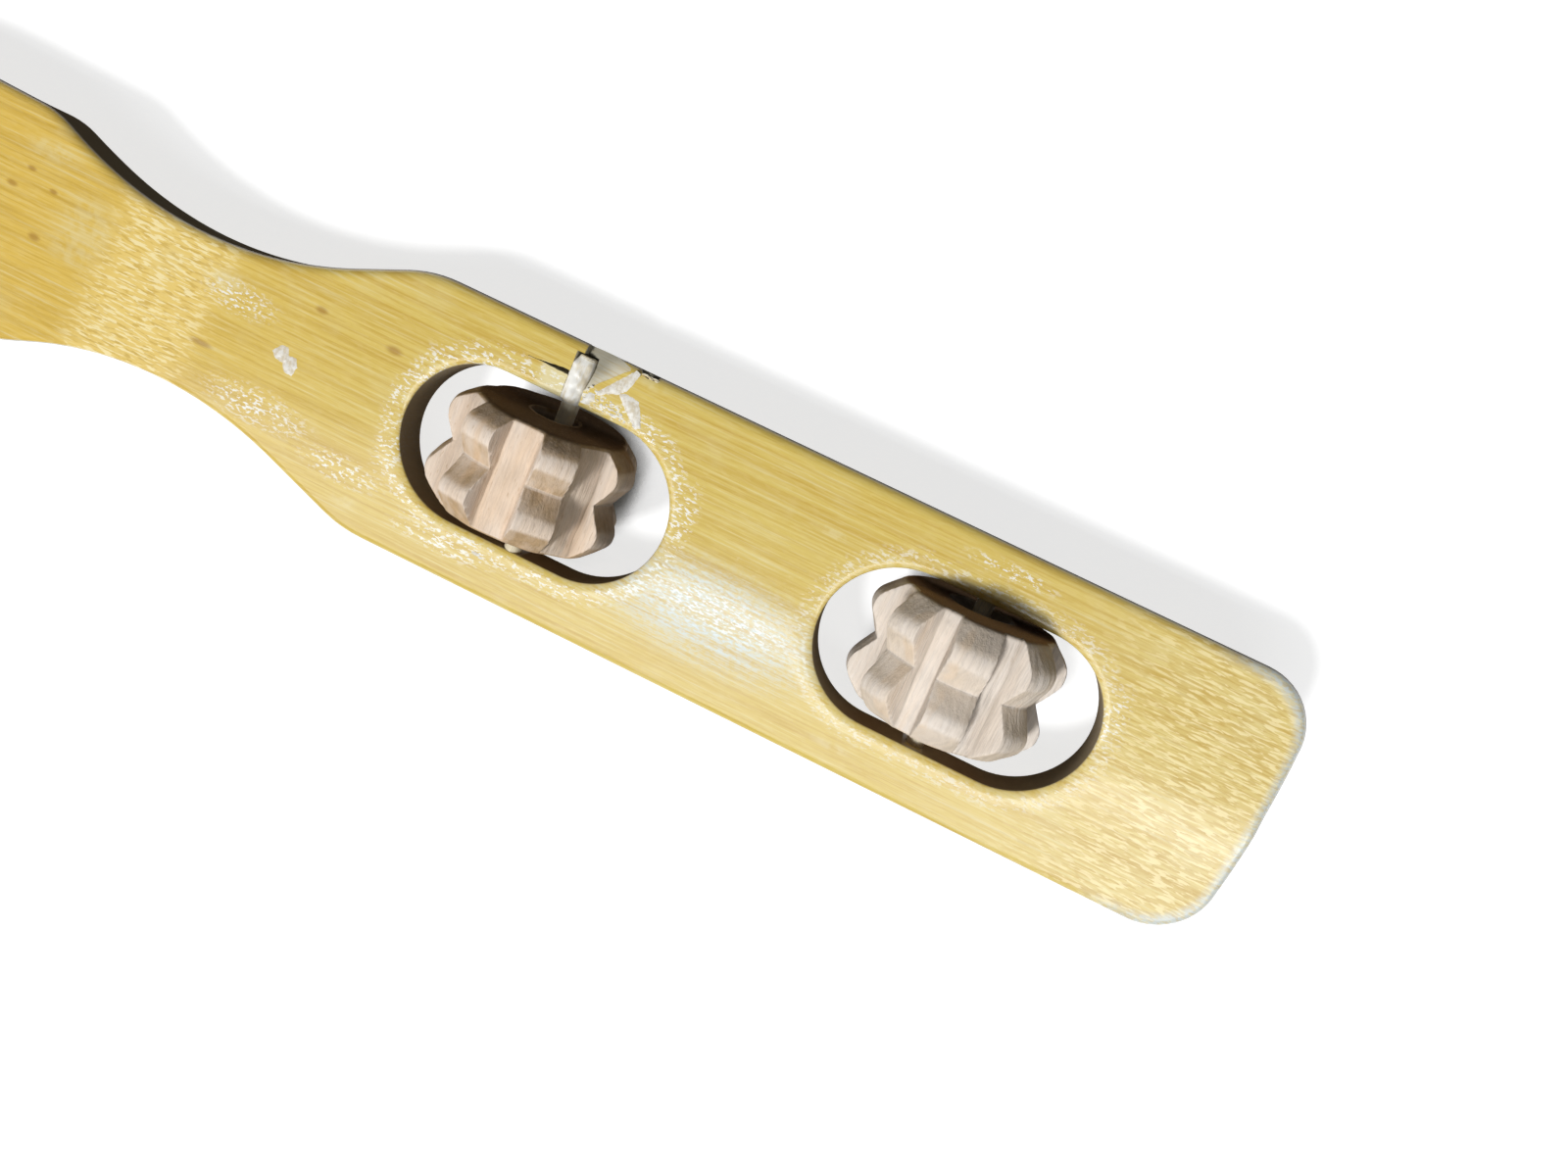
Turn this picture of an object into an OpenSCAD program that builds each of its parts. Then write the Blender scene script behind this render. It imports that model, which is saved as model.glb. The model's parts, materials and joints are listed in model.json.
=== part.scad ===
// Bamboo back scratcher with two massage rollers.
// X runs along the strip towards the roller end, Y across it and Z up from the table it lies on.
// The flat pattern is measured from the middle of the grip-side roller slot.

/* [Roller plate] */
// Width of the roller plate
plate_w = 45; // [42:0.5:54]
// Thickness of the bamboo strip
strip_t = 7.7; // [6.5:0.1:10]
// Distance between the two roller slots
slot_pitch = 73.9; // [66:0.1:90]
// Distance from the end-side slot's middle to the plate's end
end_margin = 50.6; // [44:0.2:70]
// Corner radius of the plate's end
end_corner_r = 10; // [4:0.5:14]
// How far the plate's end bows out
end_bow = 1.6; // [0.5:0.1:3]
// Rounding of the strip's long edges
edge_r = 1.4; // [0.6:0.1:1.5]

/* [Waist and grip] */
// Distance from the grip-side slot's middle to the waist
waist_x = 65.6; // [58:0.2:75]
// Width of the strip at the waist
waist_w = 25.3; // [20:0.1:30]
// Radius of the waist's hollow
waist_r = 66; // [40:1:66]
// Sideways lean of the waist
waist_lean = -1.1; // [-2:0.1:2]
// Slope of the waist on the plate's side, degrees
plate_slope = 21.3; // [18:0.1:26]
// Slope of the waist on the grip's side, degrees
grip_slope = 22.7; // [18:0.1:26]
// Rounding of the shoulder between plate and waist
plate_shoulder_r = 22; // [8:1:26]
// Rounding of the shoulder between waist and grip
grip_shoulder_r = 15; // [6:1:20]
// Width of the grip at its shoulder
grip_near_w = 39.6; // [34:0.2:44]
// Greatest width of the grip
grip_w = 42; // [40:0.2:50]
// Distance from the waist to the grip's widest place
grip_reach = 60; // [50:1:75]

/* [Shaft and claw] */
// Distance from the grip's widest place to the slender shaft
shaft_reach = 88; // [70:1:110]
// Width of the shaft where it starts
shaft_w = 24; // [20:0.5:30]
// Length of the slender shaft
shaft_l = 62; // [40:1:90]
// Width of the shaft at the neck below the claw
neck_w = 21; // [16:0.5:26]
// Distance from the neck to the claw's full width
claw_flare = 30; // [24:1:40]
// Width of the claw
claw_w = 38; // [32:0.5:46]
// Thickness of the strip where the claw starts to bend
claw_t = 4.4; // [3.6:0.1:5.5]
// Thickness at the finger tips
tip_t = 3.2; // [2.8:0.1:4.2]
// Outer radius of the claw's bend
bend_r = 17; // [13:0.5:18]
// Angle of the claw's bend, degrees
bend_angle = 75; // [60:1:80]
// Number of fingers
fingers = 5; // [4:1:6]
// Width of the gaps between the fingers
finger_gap = 3; // [2:0.1:3.6]
// Angle round the bend at which the gaps start, degrees
gap_root = 8; // [4:1:25]

/* [Rollers] */
// Diameter over the knobs
roller_d = 32; // [28:0.1:36]
// Length of a roller
roller_l = 20; // [18:0.1:24]
// How much shorter the grip-side roller is at its upper end
grip_end_cut = 1.4; // [0:0.1:2.2]
// Slope of the bevel at the grip-side roller's upper end, degrees
grip_end_slope = 54; // [42:1:56]
// Distance between the two rows of knobs
row_pitch = 10.8; // [9:0.1:12]
// Slope of the bevels at the roller's ends, degrees
bevel_slope = 42; // [36:1:48]
// Slope of the groove between the rows, degrees
groove_slope = 31; // [24:1:36]
// Rounding of the knobs' crests
crest_r = 3.5; // [1.5:0.1:4]
// Depth of the flutes between the knobs
flute_depth = 3.5; // [2.5:0.1:4]
// Slope of the flutes' walls, degrees
flute_wall = 25; // [15:1:35]
// Number of flutes on the grip-side roller
grip_flutes = 7; // [6:1:8]
// Width of the grip-side roller's flutes at the bottom
grip_flute_w = 5; // [3:0.1:5.4]
// Turn of the grip-side roller, degrees
grip_turn = 4; // [0:1:8]
// Number of flutes on the end-side roller
end_flutes = 8; // [6:1:8]
// Width of the end-side roller's flutes at the bottom
end_flute_w = 3; // [2.4:0.1:4]
// Turn of the end-side roller, degrees
end_turn = 25.5; // [20:0.5:28]
// Depth of the rollers' middles below the strip's top face
roller_depth = 2.4; // [2:0.1:3.6]
// How far the grip-side roller sits from its slot's middle towards the plate's end
grip_roller_shift = -0.6; // [-1.5:0.1:1.5]
// How far the end-side roller sits from its slot's middle towards the plate's end
end_roller_shift = -0.9; // [-1.5:0.1:1.5]
// How far the grip-side roller sits from its slot's middle towards the upper edge
grip_roller_side = 0.6; // [-1:0.1:1]
// How far the end-side roller sits from its slot's middle towards the upper edge
end_roller_side = 1.6; // [-1:0.1:1.7]
// Slant of the end-side roller on its axle, degrees
end_roller_slant = 2.4; // [-3:0.1:3]
// Gap between a roller's end faces and the slot's sides
side_gap = 3.1; // [2:0.1:5]
// Gap between a roller and the ends of its slot
end_gap = 7.2; // [4.5:0.1:9]

/* [Axles] */
// Diameter of the axle pins
axle_d = 3; // [2.4:0.1:4]
// How far the axles' ends stop short of the strip's edges
axle_inset = 1.8; // [0.6:0.1:3]
// How far a roller's middle sits off its axle in the worn bore
bore_play = 1.65; // [1.3:0.05:1.8]
// Side of its bore that the grip-side axle lies on, degrees up from the plate's end
grip_play_side = 14; // [0:1:16]
// Side of its bore that the end-side axle lies on, degrees up from the plate's end
end_play_side = -90; // [-110:1:-70]
// Gap between an axle and the bore's nearest side
bore_clearance = 0.3; // [0.2:0.05:0.4]
// Diameter of the mouths of the grip-side roller's bore
grip_mouth_d = 7.8; // [7.6:0.1:9]
// Diameter of the mouths of the end-side roller's bore
end_mouth_d = 10.4; // [8:0.1:12]
// Depth of a bore's mouths
mouth_l = 3; // [2:0.2:6]
// Glue line round the axles in the rails
glue_line = 0.05; // [0.02:0.01:0.1]

/* [Broken rail] */
// Depth of the wood split off beside the grip-side axle
split_depth = 2; // [1:0.1:2.1]
// Length of the split along the strip's edge
split_l = 7; // [4:0.1:12]
// Distance from the strip's edge to the inner end of the split
split_w = 6.9; // [4:0.1:8]
// Length of the crack on the other side of the axle
crack_l = 7; // [3:0.2:14]
// Width of the crack at the axle
crack_w = 0.9; // [0.5:0.1:1.5]
// Distance from the strip's edge to the glue bead over the axle
bead_inset = 5.6; // [4.5:0.1:7]

/* [Hidden] */
$fn = 64;
past = 1;
edge_steps = 3;
corner_steps = 6;
sweep_steps = 12;
bow_steps = 3;
bend_steps = 12;
fillet_share = 0.88;
tip_fullness = 0.56;
gap_sweep = 120;

// Levels: the rollers and the finger tips stand on the table
roller_r = roller_d / 2;
top_z = roller_r + roller_depth;
axle_r = axle_d / 2;

// Roller slots
slot_w = roller_l + 2 * side_gap;
slot_l = roller_d + 2 * end_gap;
rail_y = slot_w / 2;
grip_roller_place = [grip_roller_shift, grip_roller_side];
end_roller_place = [slot_pitch + end_roller_shift, end_roller_side];
axle_end_y = plate_w / 2 - axle_inset;

// Places of the axles as [x, z]: each lies against one side of its roller's bore
grip_axle = [grip_roller_place.x, roller_r] + bore_play * [cos(grip_play_side), sin(grip_play_side)];
end_axle = [end_roller_place.x, roller_r] + bore_play * [cos(end_play_side), sin(end_play_side)];

// Stations along the flat pattern
plate_end = slot_pitch + end_margin;
grip_x = -waist_x - grip_reach;
shaft_x = grip_x - shaft_reach;
neck_x = shaft_x - shaft_l;
claw_x = neck_x - claw_flare;
bend_x = claw_x - claw_flare / 4;
bend_l = bend_r * bend_angle * PI / 180;
tip_l = (top_z - bend_r * (1 - cos(bend_angle)) - tip_t * cos(bend_angle)) / sin(bend_angle);
pattern_end = bend_x - bend_l - tip_l;

// The waist's two slopes meet at a point that its hollow then rounds off
slope_mean = (plate_slope + grip_slope) / 2;
slope_half_gap = (plate_slope - grip_slope) / 2;
waist_point = waist_w / 2 + waist_r * (1 - cos(slope_half_gap) / cos(slope_mean));
plate_shoulder_x = -waist_x + (plate_w / 2 - waist_point) / tan(plate_slope);
grip_shoulder_x = -waist_x - (grip_near_w / 2 - waist_point) / tan(grip_slope);

// The object's middle along X
left_x = bend_x - bend_r * sin(bend_angle) - tip_l * cos(bend_angle);
middle_x = (plate_end + left_x) / 2;

// Roller profile: the crest's slopes meet at a point that its rounding takes down to the radius
row_y = row_pitch / 2;
crest_point = roller_r - crest_r
    + crest_r * cos((bevel_slope - groove_slope) / 2) / cos((bevel_slope + groove_slope) / 2);
groove_point = crest_point - row_y * tan(groove_slope);
bore_r = axle_r + bore_play + bore_clearance;

// Radius of a roller's end face, by how much its end is cut shorter and the slope of its bevel
function end_face_r(cut, slope) = crest_point - (roller_l / 2 - cut - row_y) * tan(slope);

// Glue bead, from the slot's side to its inset from the strip's edge
bead_l = plate_w / 2 - bead_inset - rail_y;

// Claw
finger_w = (claw_w - (fingers - 1) * finger_gap) / fingers;
tip_r = finger_w * tip_fullness;

function unit(v) = v / norm(v);

// Arc that rounds the corner b between the sides to a and c
function corner_arc(a, b, c, r, steps) =
    let (u = unit(a - b),
         v = unit(c - b),
         half = acos(u * v) / 2,
         reach = min(r / tan(half), fillet_share * min(norm(a - b), norm(c - b))),
         radius = reach * tan(half),
         centre = b + unit(u + v) * radius / cos(90 - half),
         first = b + u * reach - centre,
         last = b + v * reach - centre,
         from = atan2(first.y, first.x),
         sweep = atan2(first.x * last.y - first.y * last.x, first * last))
    [for (i = [0 : steps]) centre + radius * [cos(from + sweep * i / steps), sin(from + sweep * i / steps)]];

// Path of [x, y, radius, steps] corners with each corner rounded; a radius of 0 keeps the point
function rounded(path) =
    [for (i = [0 : len(path) - 1])
        let (p = [path[i].x, path[i].y])
        each path[i][2] == 0
            ? [p]
            : corner_arc([path[i - 1].x, path[i - 1].y], p, [path[i + 1].x, path[i + 1].y],
                         path[i][2], path[i][3])];

// Half of the plate's end, from near its middle to its side
function end_points() =
    let (inner_y = plate_w / 2 - end_corner_r,
         drop = end_bow * pow(inner_y / (plate_w / 2), 2))
    concat(
        [for (i = [1 : bow_steps])
            [plate_end - drop * pow(i / (bow_steps + 1), 2), inner_y * i / (bow_steps + 1)]],
        [for (i = [0 : corner_steps])
            [plate_end - drop - end_corner_r, inner_y]
                + end_corner_r * [cos(90 * i / corner_steps), sin(90 * i / corner_steps)]]);

// One long side of the flat pattern, as half widths, from the plate's shoulder to the claw's bend
function side_points(lean) = rounded([
    [0, plate_w / 2, 0],
    [plate_shoulder_x, plate_w / 2, plate_shoulder_r, corner_steps],
    [-waist_x, waist_point + lean, waist_r, sweep_steps],
    [grip_shoulder_x, grip_near_w / 2, grip_shoulder_r, corner_steps],
    [grip_x, grip_w / 2, 2 * grip_w, sweep_steps],
    [shaft_x, shaft_w / 2, 4 * shaft_w, sweep_steps],
    [neck_x, neck_w / 2, 1.5 * neck_w, corner_steps],
    [claw_x, claw_w / 2, claw_w / 2, corner_steps],
    [bend_x, claw_w / 2, 0]]);

// The claw's straight sides, with a point for every step of the bend
function claw_points() = concat(
    [for (i = [1 : bend_steps]) [bend_x - bend_l * i / bend_steps, claw_w / 2]],
    [[pattern_end, claw_w / 2]]);

function half_outline(lean) = concat(end_points(), side_points(lean), claw_points());

// Thickness of the strip at a place along the flat pattern
function thickness(x) =
    x > grip_x ? strip_t
    : x > bend_x ? strip_t + (claw_t - strip_t) * (grip_x - x) / (grip_x - bend_x)
    : claw_t + (tip_t - claw_t) * (bend_x - x) / (bend_x - pattern_end);

// Place of a flat-pattern point, at a depth below the outer face, once the claw is bent
function bent(x, y, depth) =
    let (run = max(bend_x - x, 0),
         turn = min(run / bend_l, 1) * bend_angle,
         straight = max(run - bend_l, 0),
         r = bend_r - depth)
    [max(x, bend_x) - r * sin(turn) - straight * cos(turn),
     y,
     top_z - bend_r + r * cos(turn) - straight * sin(turn)];

// Rounded edge as [inset, depth share, depth] rings from the top face to the bottom face
function edge_rings() = concat(
    [for (i = [0 : edge_steps])
        let (a = 90 * i / edge_steps)
        [edge_r * (1 - sin(a)), 0, edge_r * (1 - cos(a))]],
    [for (i = [edge_steps : -1 : 0])
        let (a = 90 * i / edge_steps)
        [edge_r * (1 - sin(a)), 1, -edge_r * (1 - cos(a))]]);

// The strip as it is made: cut flat, its edges rounded, then the claw heated and bent
module bent_strip() {
    upper = half_outline(waist_lean);
    lower = half_outline(-waist_lean);
    half = len(upper);
    count = 2 * half;
    outline = [for (i = [0 : count - 1])
        i < half ? upper[i] : [lower[count - 1 - i].x, -lower[count - 1 - i].y]];
    normals = [for (i = [0 : count - 1])
        let (along = unit(outline[(i + 1) % count] - outline[(i + count - 1) % count]))
        [along.y, -along.x]];
    rings = edge_rings();
    points = [for (ring = rings, i = [0 : count - 1])
        let (p = outline[i] - normals[i] * ring[0])
        bent(p.x, p.y, ring[1] * thickness(p.x) + ring[2])];
    sides = [for (k = [0 : len(rings) - 2], i = [0 : count - 1])
        let (a = k * count + i,
             b = k * count + (i + 1) % count)
        each [[a, b, b + count], [a, b + count, a + count]]];
    low = (len(rings) - 1) * count;
    caps = [for (i = [0 : half - 2])
        let (a = i,
             b = count - 1 - i)
        each [[a, b, b - 1], [a, b - 1, a + 1],
              [low + a, low + b - 1, low + b], [low + a, low + a + 1, low + b - 1]]];
    polyhedron(points, concat(sides, caps));
}

// Long round-ended slot that a roller turns in
module roller_slot(x) {
    straight = slot_l - slot_w;
    translate([x, 0, top_z - strip_t - past]) {
        for (side = [-1, 1])
            translate([side * straight / 2, 0, 0])
                cylinder(d = slot_w, h = strip_t + 2 * past);
        translate([-straight / 2, -slot_w / 2, 0])
            cube([straight, slot_w, strip_t + 2 * past]);
    }
}

// Hole for an axle, drilled from the strip's upper edge and blind in the far rail
module axle_hole(place)
    translate([place.x, -axle_end_y, place.y])
        rotate([-90, 0, 0])
            cylinder(r = axle_r + glue_line, h = axle_end_y + plate_w / 2 + past);

// Gap between two fingers, round at its root
module finger_cut(y) {
    reach = 2 * (bend_r + tip_l);
    translate([bend_x, y, top_z - bend_r]) {
        rotate([90, 0, 0])
            linear_extrude(finger_gap, center = true)
                polygon(concat([[0, 0]],
                    [for (a = [gap_root : (gap_sweep - gap_root) / 4 : gap_sweep])
                        reach * [-sin(a), cos(a)]]));
        rotate([0, -gap_root, 0])
            cylinder(d = finger_gap, h = bend_r + past);
    }
}

// What is cut off round the finger tips
module tip_cut()
    translate([bend_x, 0, top_z - bend_r])
        rotate([0, -bend_angle, 0])
            difference() {
                translate([-tip_l - past, -claw_w / 2 - past, bend_r - claw_t - past])
                    cube([tip_r + past, claw_w + 2 * past, claw_t + 2 * past]);
                for (i = [0 : fingers - 1])
                    translate([-tip_l + tip_r, (i - (fingers - 1) / 2) * (finger_w + finger_gap), 0])
                        cylinder(r = tip_r, h = bend_r + 2 * past);
            }

// Wood that broke out over the grip-side axle: the channel over it, the split and the crack
module broken_rail() {
    channel = axle_r + glue_line;
    x = grip_axle.x;
    edge = plate_w / 2;
    translate([x - channel, rail_y - past, grip_axle.y])
        cube([2 * channel, axle_end_y - rail_y + past, top_z - grip_axle.y + past]);
    translate([x, 0, top_z - split_depth])
        linear_extrude(split_depth + past)
            polygon([[axle_r / 2, edge - split_w], [axle_r + split_l, edge],
                     [axle_r + split_l, edge + past], [axle_r / 2, edge + past]]);
    translate([x, edge - split_w + crack_w, top_z - split_depth])
        linear_extrude(split_depth + past)
            polygon([[-axle_r / 2, 0], [-axle_r / 2, crack_w], [-axle_r - crack_l, crack_w / 2]]);
}

module bamboo_strip() {
    color("#d8bf66")
        difference() {
            bent_strip();
            for (x = [0, slot_pitch])
                roller_slot(x);
            for (place = [grip_axle, end_axle])
                axle_hole(place);
            for (i = [1 : fingers - 1])
                finger_cut((i - fingers / 2) * (finger_w + finger_gap));
            tip_cut();
            broken_rail();
        }
}

// Turned roller with two rows of knobs, fluted lengthwise and bored for its axle
module roller(place, slant, flutes, flute_w, turn, mouth_d, cut, cut_slope) {
    floor_r = roller_r - flute_depth;
    rise = flute_depth + past;
    spread = rise * tan(flute_wall);
    translate([place.x, place.y, roller_r])
        rotate([90, 0, slant])
            difference() {
                rotate_extrude()
                    polygon(rounded([
                        [0, cut - roller_l / 2, 0],
                        [end_face_r(cut, cut_slope), cut - roller_l / 2, 0],
                        [crest_point, -row_y, crest_r, corner_steps],
                        [groove_point, 0, 0],
                        [crest_point, row_y, crest_r, corner_steps],
                        [end_face_r(0, bevel_slope), roller_l / 2, 0],
                        [0, roller_l / 2, 0]]));
                for (i = [0 : flutes - 1])
                    rotate([0, 0, -turn - i * 360 / flutes])
                        linear_extrude(roller_l + 2 * past, center = true)
                            polygon([[-flute_w / 2, floor_r], [flute_w / 2, floor_r],
                                     [flute_w / 2 + spread, floor_r + rise],
                                     [-flute_w / 2 - spread, floor_r + rise]]);
                cylinder(r = bore_r, h = roller_l + 2 * past, center = true);
                for (end = [[0, 0], [180, cut]])
                    rotate([end.x, 0, 0])
                        translate([0, 0, roller_l / 2 - end.y - mouth_l])
                            cylinder(r1 = bore_r, r2 = mouth_d / 2, h = mouth_l);
            }
}

module grip_side_roller() {
    color("#c3a27e")
        roller(grip_roller_place, 0, grip_flutes, grip_flute_w, grip_turn, grip_mouth_d,
            grip_end_cut, grip_end_slope);
}

module end_side_roller() {
    color("#d6c0a6")
        roller(end_roller_place, end_roller_slant, end_flutes, end_flute_w, end_turn, end_mouth_d,
            0, bevel_slope);
}

// Round pin through both rails
module axle(place)
    translate([place.x, 0, place.y])
        rotate([90, 0, 0])
            cylinder(r = axle_r, h = 2 * axle_end_y, center = true);

module grip_side_axle() {
    color("#e2d3a6")
        axle(grip_axle);
}

module end_side_axle() {
    color("#e2d3a6")
        axle(end_axle);
}

// Bead of hardened glue over the bared end of the grip-side axle
module axle_glue() {
    color("#efede6")
        translate([grip_axle.x, rail_y, grip_axle.y])
            difference() {
                translate([-axle_r, 0, 0])
                    cube([axle_d, bead_l, top_z - grip_axle.y]);
                translate([0, -past, 0])
                    rotate([-90, 0, 0])
                        cylinder(r = axle_r + glue_line, h = bead_l + 2 * past);
            }
}

module placed()
    translate([-middle_x, 0, 0])
        children();

placed() bamboo_strip();
placed() grip_side_roller();
placed() end_side_roller();
placed() grip_side_axle();
placed() end_side_axle();
placed() axle_glue();
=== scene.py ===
"""Bamboo back scratcher with two knobbed massage rollers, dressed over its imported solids."""

import json
import math
import random

import bmesh
import bpy
import numpy as np
from bpy.props import FloatProperty, FloatVectorProperty, IntProperty, PointerProperty
from mathutils import Matrix, Vector, noise
from mathutils.geometry import delaunay_2d_cdt


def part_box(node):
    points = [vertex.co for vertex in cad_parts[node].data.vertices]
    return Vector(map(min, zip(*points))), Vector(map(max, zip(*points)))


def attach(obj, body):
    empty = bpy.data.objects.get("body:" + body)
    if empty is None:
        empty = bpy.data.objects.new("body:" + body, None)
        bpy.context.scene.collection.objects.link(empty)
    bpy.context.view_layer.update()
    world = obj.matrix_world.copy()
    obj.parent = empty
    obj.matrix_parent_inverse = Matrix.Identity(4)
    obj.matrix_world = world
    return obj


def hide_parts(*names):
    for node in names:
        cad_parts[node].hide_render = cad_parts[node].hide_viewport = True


bl_info = {
    "name": "Bamboo Back Scratcher",
    "version": (1, 0, 0),
    "blender": (4, 5, 0),
    "location": "View3D > Sidebar > Back Scratcher",
    "description": "Builds a bamboo back scratcher with knobbed wooden rollers and its stage",
    "category": "Object",
}

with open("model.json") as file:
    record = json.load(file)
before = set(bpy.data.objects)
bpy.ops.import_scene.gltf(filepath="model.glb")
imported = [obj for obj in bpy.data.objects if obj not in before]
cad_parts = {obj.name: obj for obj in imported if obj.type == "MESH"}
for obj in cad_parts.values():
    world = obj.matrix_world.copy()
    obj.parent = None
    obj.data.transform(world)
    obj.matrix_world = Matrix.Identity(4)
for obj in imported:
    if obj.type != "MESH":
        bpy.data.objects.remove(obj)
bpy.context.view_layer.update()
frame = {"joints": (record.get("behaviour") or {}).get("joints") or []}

MM = 0.001

# Middles of the rollers and the lines they turn on, from their joints
ROLLER_MIDDLES = {joint["child"]: Vector(joint["pos_m"]) for joint in frame["joints"]}
ROLLER_LINES = {joint["child"]: Vector(joint["axis"]) for joint in frame["joints"]}


def label(key):
    """A value's name as the panel shows it."""
    return key.replace("_", " ").capitalize()


def lengths(**rows):
    """Lengths that a user can change, each in millimetres."""
    return {key: FloatProperty(name=label(key), description=about, default=size * MM, unit="LENGTH",
                               subtype="DISTANCE", precision=5) for key, (size, about) in rows.items()}


def angles(**rows):
    """Angles that a user can change, each in degrees."""
    return {key: FloatProperty(name=label(key), description=about, default=math.radians(degrees),
                               unit="ROTATION", subtype="ANGLE") for key, (degrees, about) in rows.items()}


def counts(**rows):
    """Numbers of like things that a user can change."""
    return {key: IntProperty(name=label(key), description=about, default=number, min=2)
            for key, (number, about) in rows.items()}


def colours(**rows):
    """Colours that a user can change."""
    return {key: FloatVectorProperty(name=label(key), description=about, default=colour, size=3, min=0,
                                     max=1, subtype="COLOR") for key, (colour, about) in rows.items()}


def strengths(**rows):
    """Strengths of light that a user can change, each with its unit."""
    return {key: FloatProperty(name=label(key), description=about, default=strength, min=0, unit=unit)
            for key, (strength, unit, about) in rows.items()}


class StripSizes(bpy.types.PropertyGroup):
    """Sizes of the bamboo strip"""
    __annotations__ = {
        **lengths(
            plate_width=(45, "Width of the roller plate"),
            thickness=(7.7, "Thickness of the strip"),
            roller_depth=(2.4, "Depth of the rollers' middles below the top face"),
            roller_shift=(-0.6, "How far the grip-side roller sits off its slot's middle"),
            slot_pitch=(73.9, "Distance between the slots' middles"),
            slot_length=(46.4, "Length of a roller slot"),
            slot_width=(26.2, "Width of a roller slot"),
            end_margin=(50.6, "From the last slot's middle to the plate's end"),
            end_corner=(10, "Corner radius of the plate's end"),
            end_bow=(1.6, "How far the plate's end bows out"),
            edge_round=(1.4, "Rounding of the long edges"),
            rim_round=(0.4, "Worn rounding of the slots' rims"),
            rim_reach=(3.0, "Width of the shallow wear round the slots"),
            rim_drop=(0.16, "Depth of the shallow wear round the slots"),
            side_lean=(0.9, "How far the plate's upper side leans in at the underside"),
            crown=(0.25, "How much lower the top face lies at the edges"),
            ripple=(0.05, "Height of the top face's uneven places"),
            waist_reach=(65.6, "From the first slot's middle to the waist"),
            waist_width=(25.3, "Width at the waist"),
            waist_radius=(66, "Radius of the waist's hollow"),
            waist_lean=(-1.1, "Sideways lean of the waist"),
            plate_shoulder=(22, "Rounding between plate and waist"),
            grip_shoulder=(15, "Rounding between waist and grip"),
            grip_near_width=(39.6, "Width of the grip at its shoulder"),
            grip_width=(42, "Greatest width of the grip"),
            grip_reach=(60, "From the waist to the grip's widest place"),
            shaft_reach=(88, "From the grip's widest place to the shaft"),
            shaft_width=(24, "Width of the shaft where it starts"),
            shaft_length=(62, "Length of the slender shaft"),
            neck_width=(21, "Width of the shaft below the claw"),
            claw_flare=(30, "From the neck to the claw's full width"),
            claw_width=(38, "Width of the claw"),
            claw_thickness=(4.4, "Thickness where the claw starts to bend"),
            tip_thickness=(3.2, "Thickness at the finger tips"),
            bend_radius=(17, "Outer radius of the claw's bend"),
            finger_gap=(3, "Width of the gaps between the fingers")),
        **angles(
            plate_slope=(21.3, "Slope of the waist on the plate's side"),
            grip_slope=(22.7, "Slope of the waist on the grip's side"),
            bend_angle=(75, "Angle of the claw's bend"),
            gap_root=(8, "Angle round the bend at which the gaps start")),
        **counts(fingers=(5, "Number of the claw's fingers"))}


class RollerSizes(bpy.types.PropertyGroup):
    """Sizes of the two rollers"""
    __annotations__ = {
        **lengths(
            diameter=(31.95, "Diameter over the knobs"),
            length=(20, "Length of a roller"),
            grip_end_cut=(1.4, "How much shorter the grip-side roller's upper end is on its top side"),
            row_pitch=(10.8, "Distance between the rows of knobs"),
            crest_round=(3.1, "Rounding of the knobs' crests"),
            flute_depth=(3.5, "Depth of the flutes between the knobs"),
            grip_flute_width=(5, "Width of the grip-side roller's flutes"),
            end_flute_width=(3, "Width of the end-side roller's flutes"),
            bore=(6.9, "Diameter of the worn bores"),
            grip_mouth=(7.8, "Mouth of the grip-side roller's bore"),
            end_mouth=(10.4, "Mouth of the end-side roller's bore"),
            mouth_depth=(3, "Depth of the bores' mouths"),
            hand_cut=(0.36, "How uneven the hand-cut knobs are")),
        **angles(
            grip_end_slope=(54, "Slope of the bevel at the grip-side roller's upper end"),
            bevel_slope=(42, "Slope of the other bevels at the ends"),
            groove_slope=(31, "Slope of the groove between the rows"),
            flute_wall=(25, "Slope of the flutes' walls"),
            grip_turn=(4, "Turn of the grip-side roller"),
            end_turn=(25.5, "Turn of the end-side roller")),
        **counts(
            grip_flutes=(7, "Flutes on the grip-side roller"),
            end_flutes=(8, "Flutes on the end-side roller"))}


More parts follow.
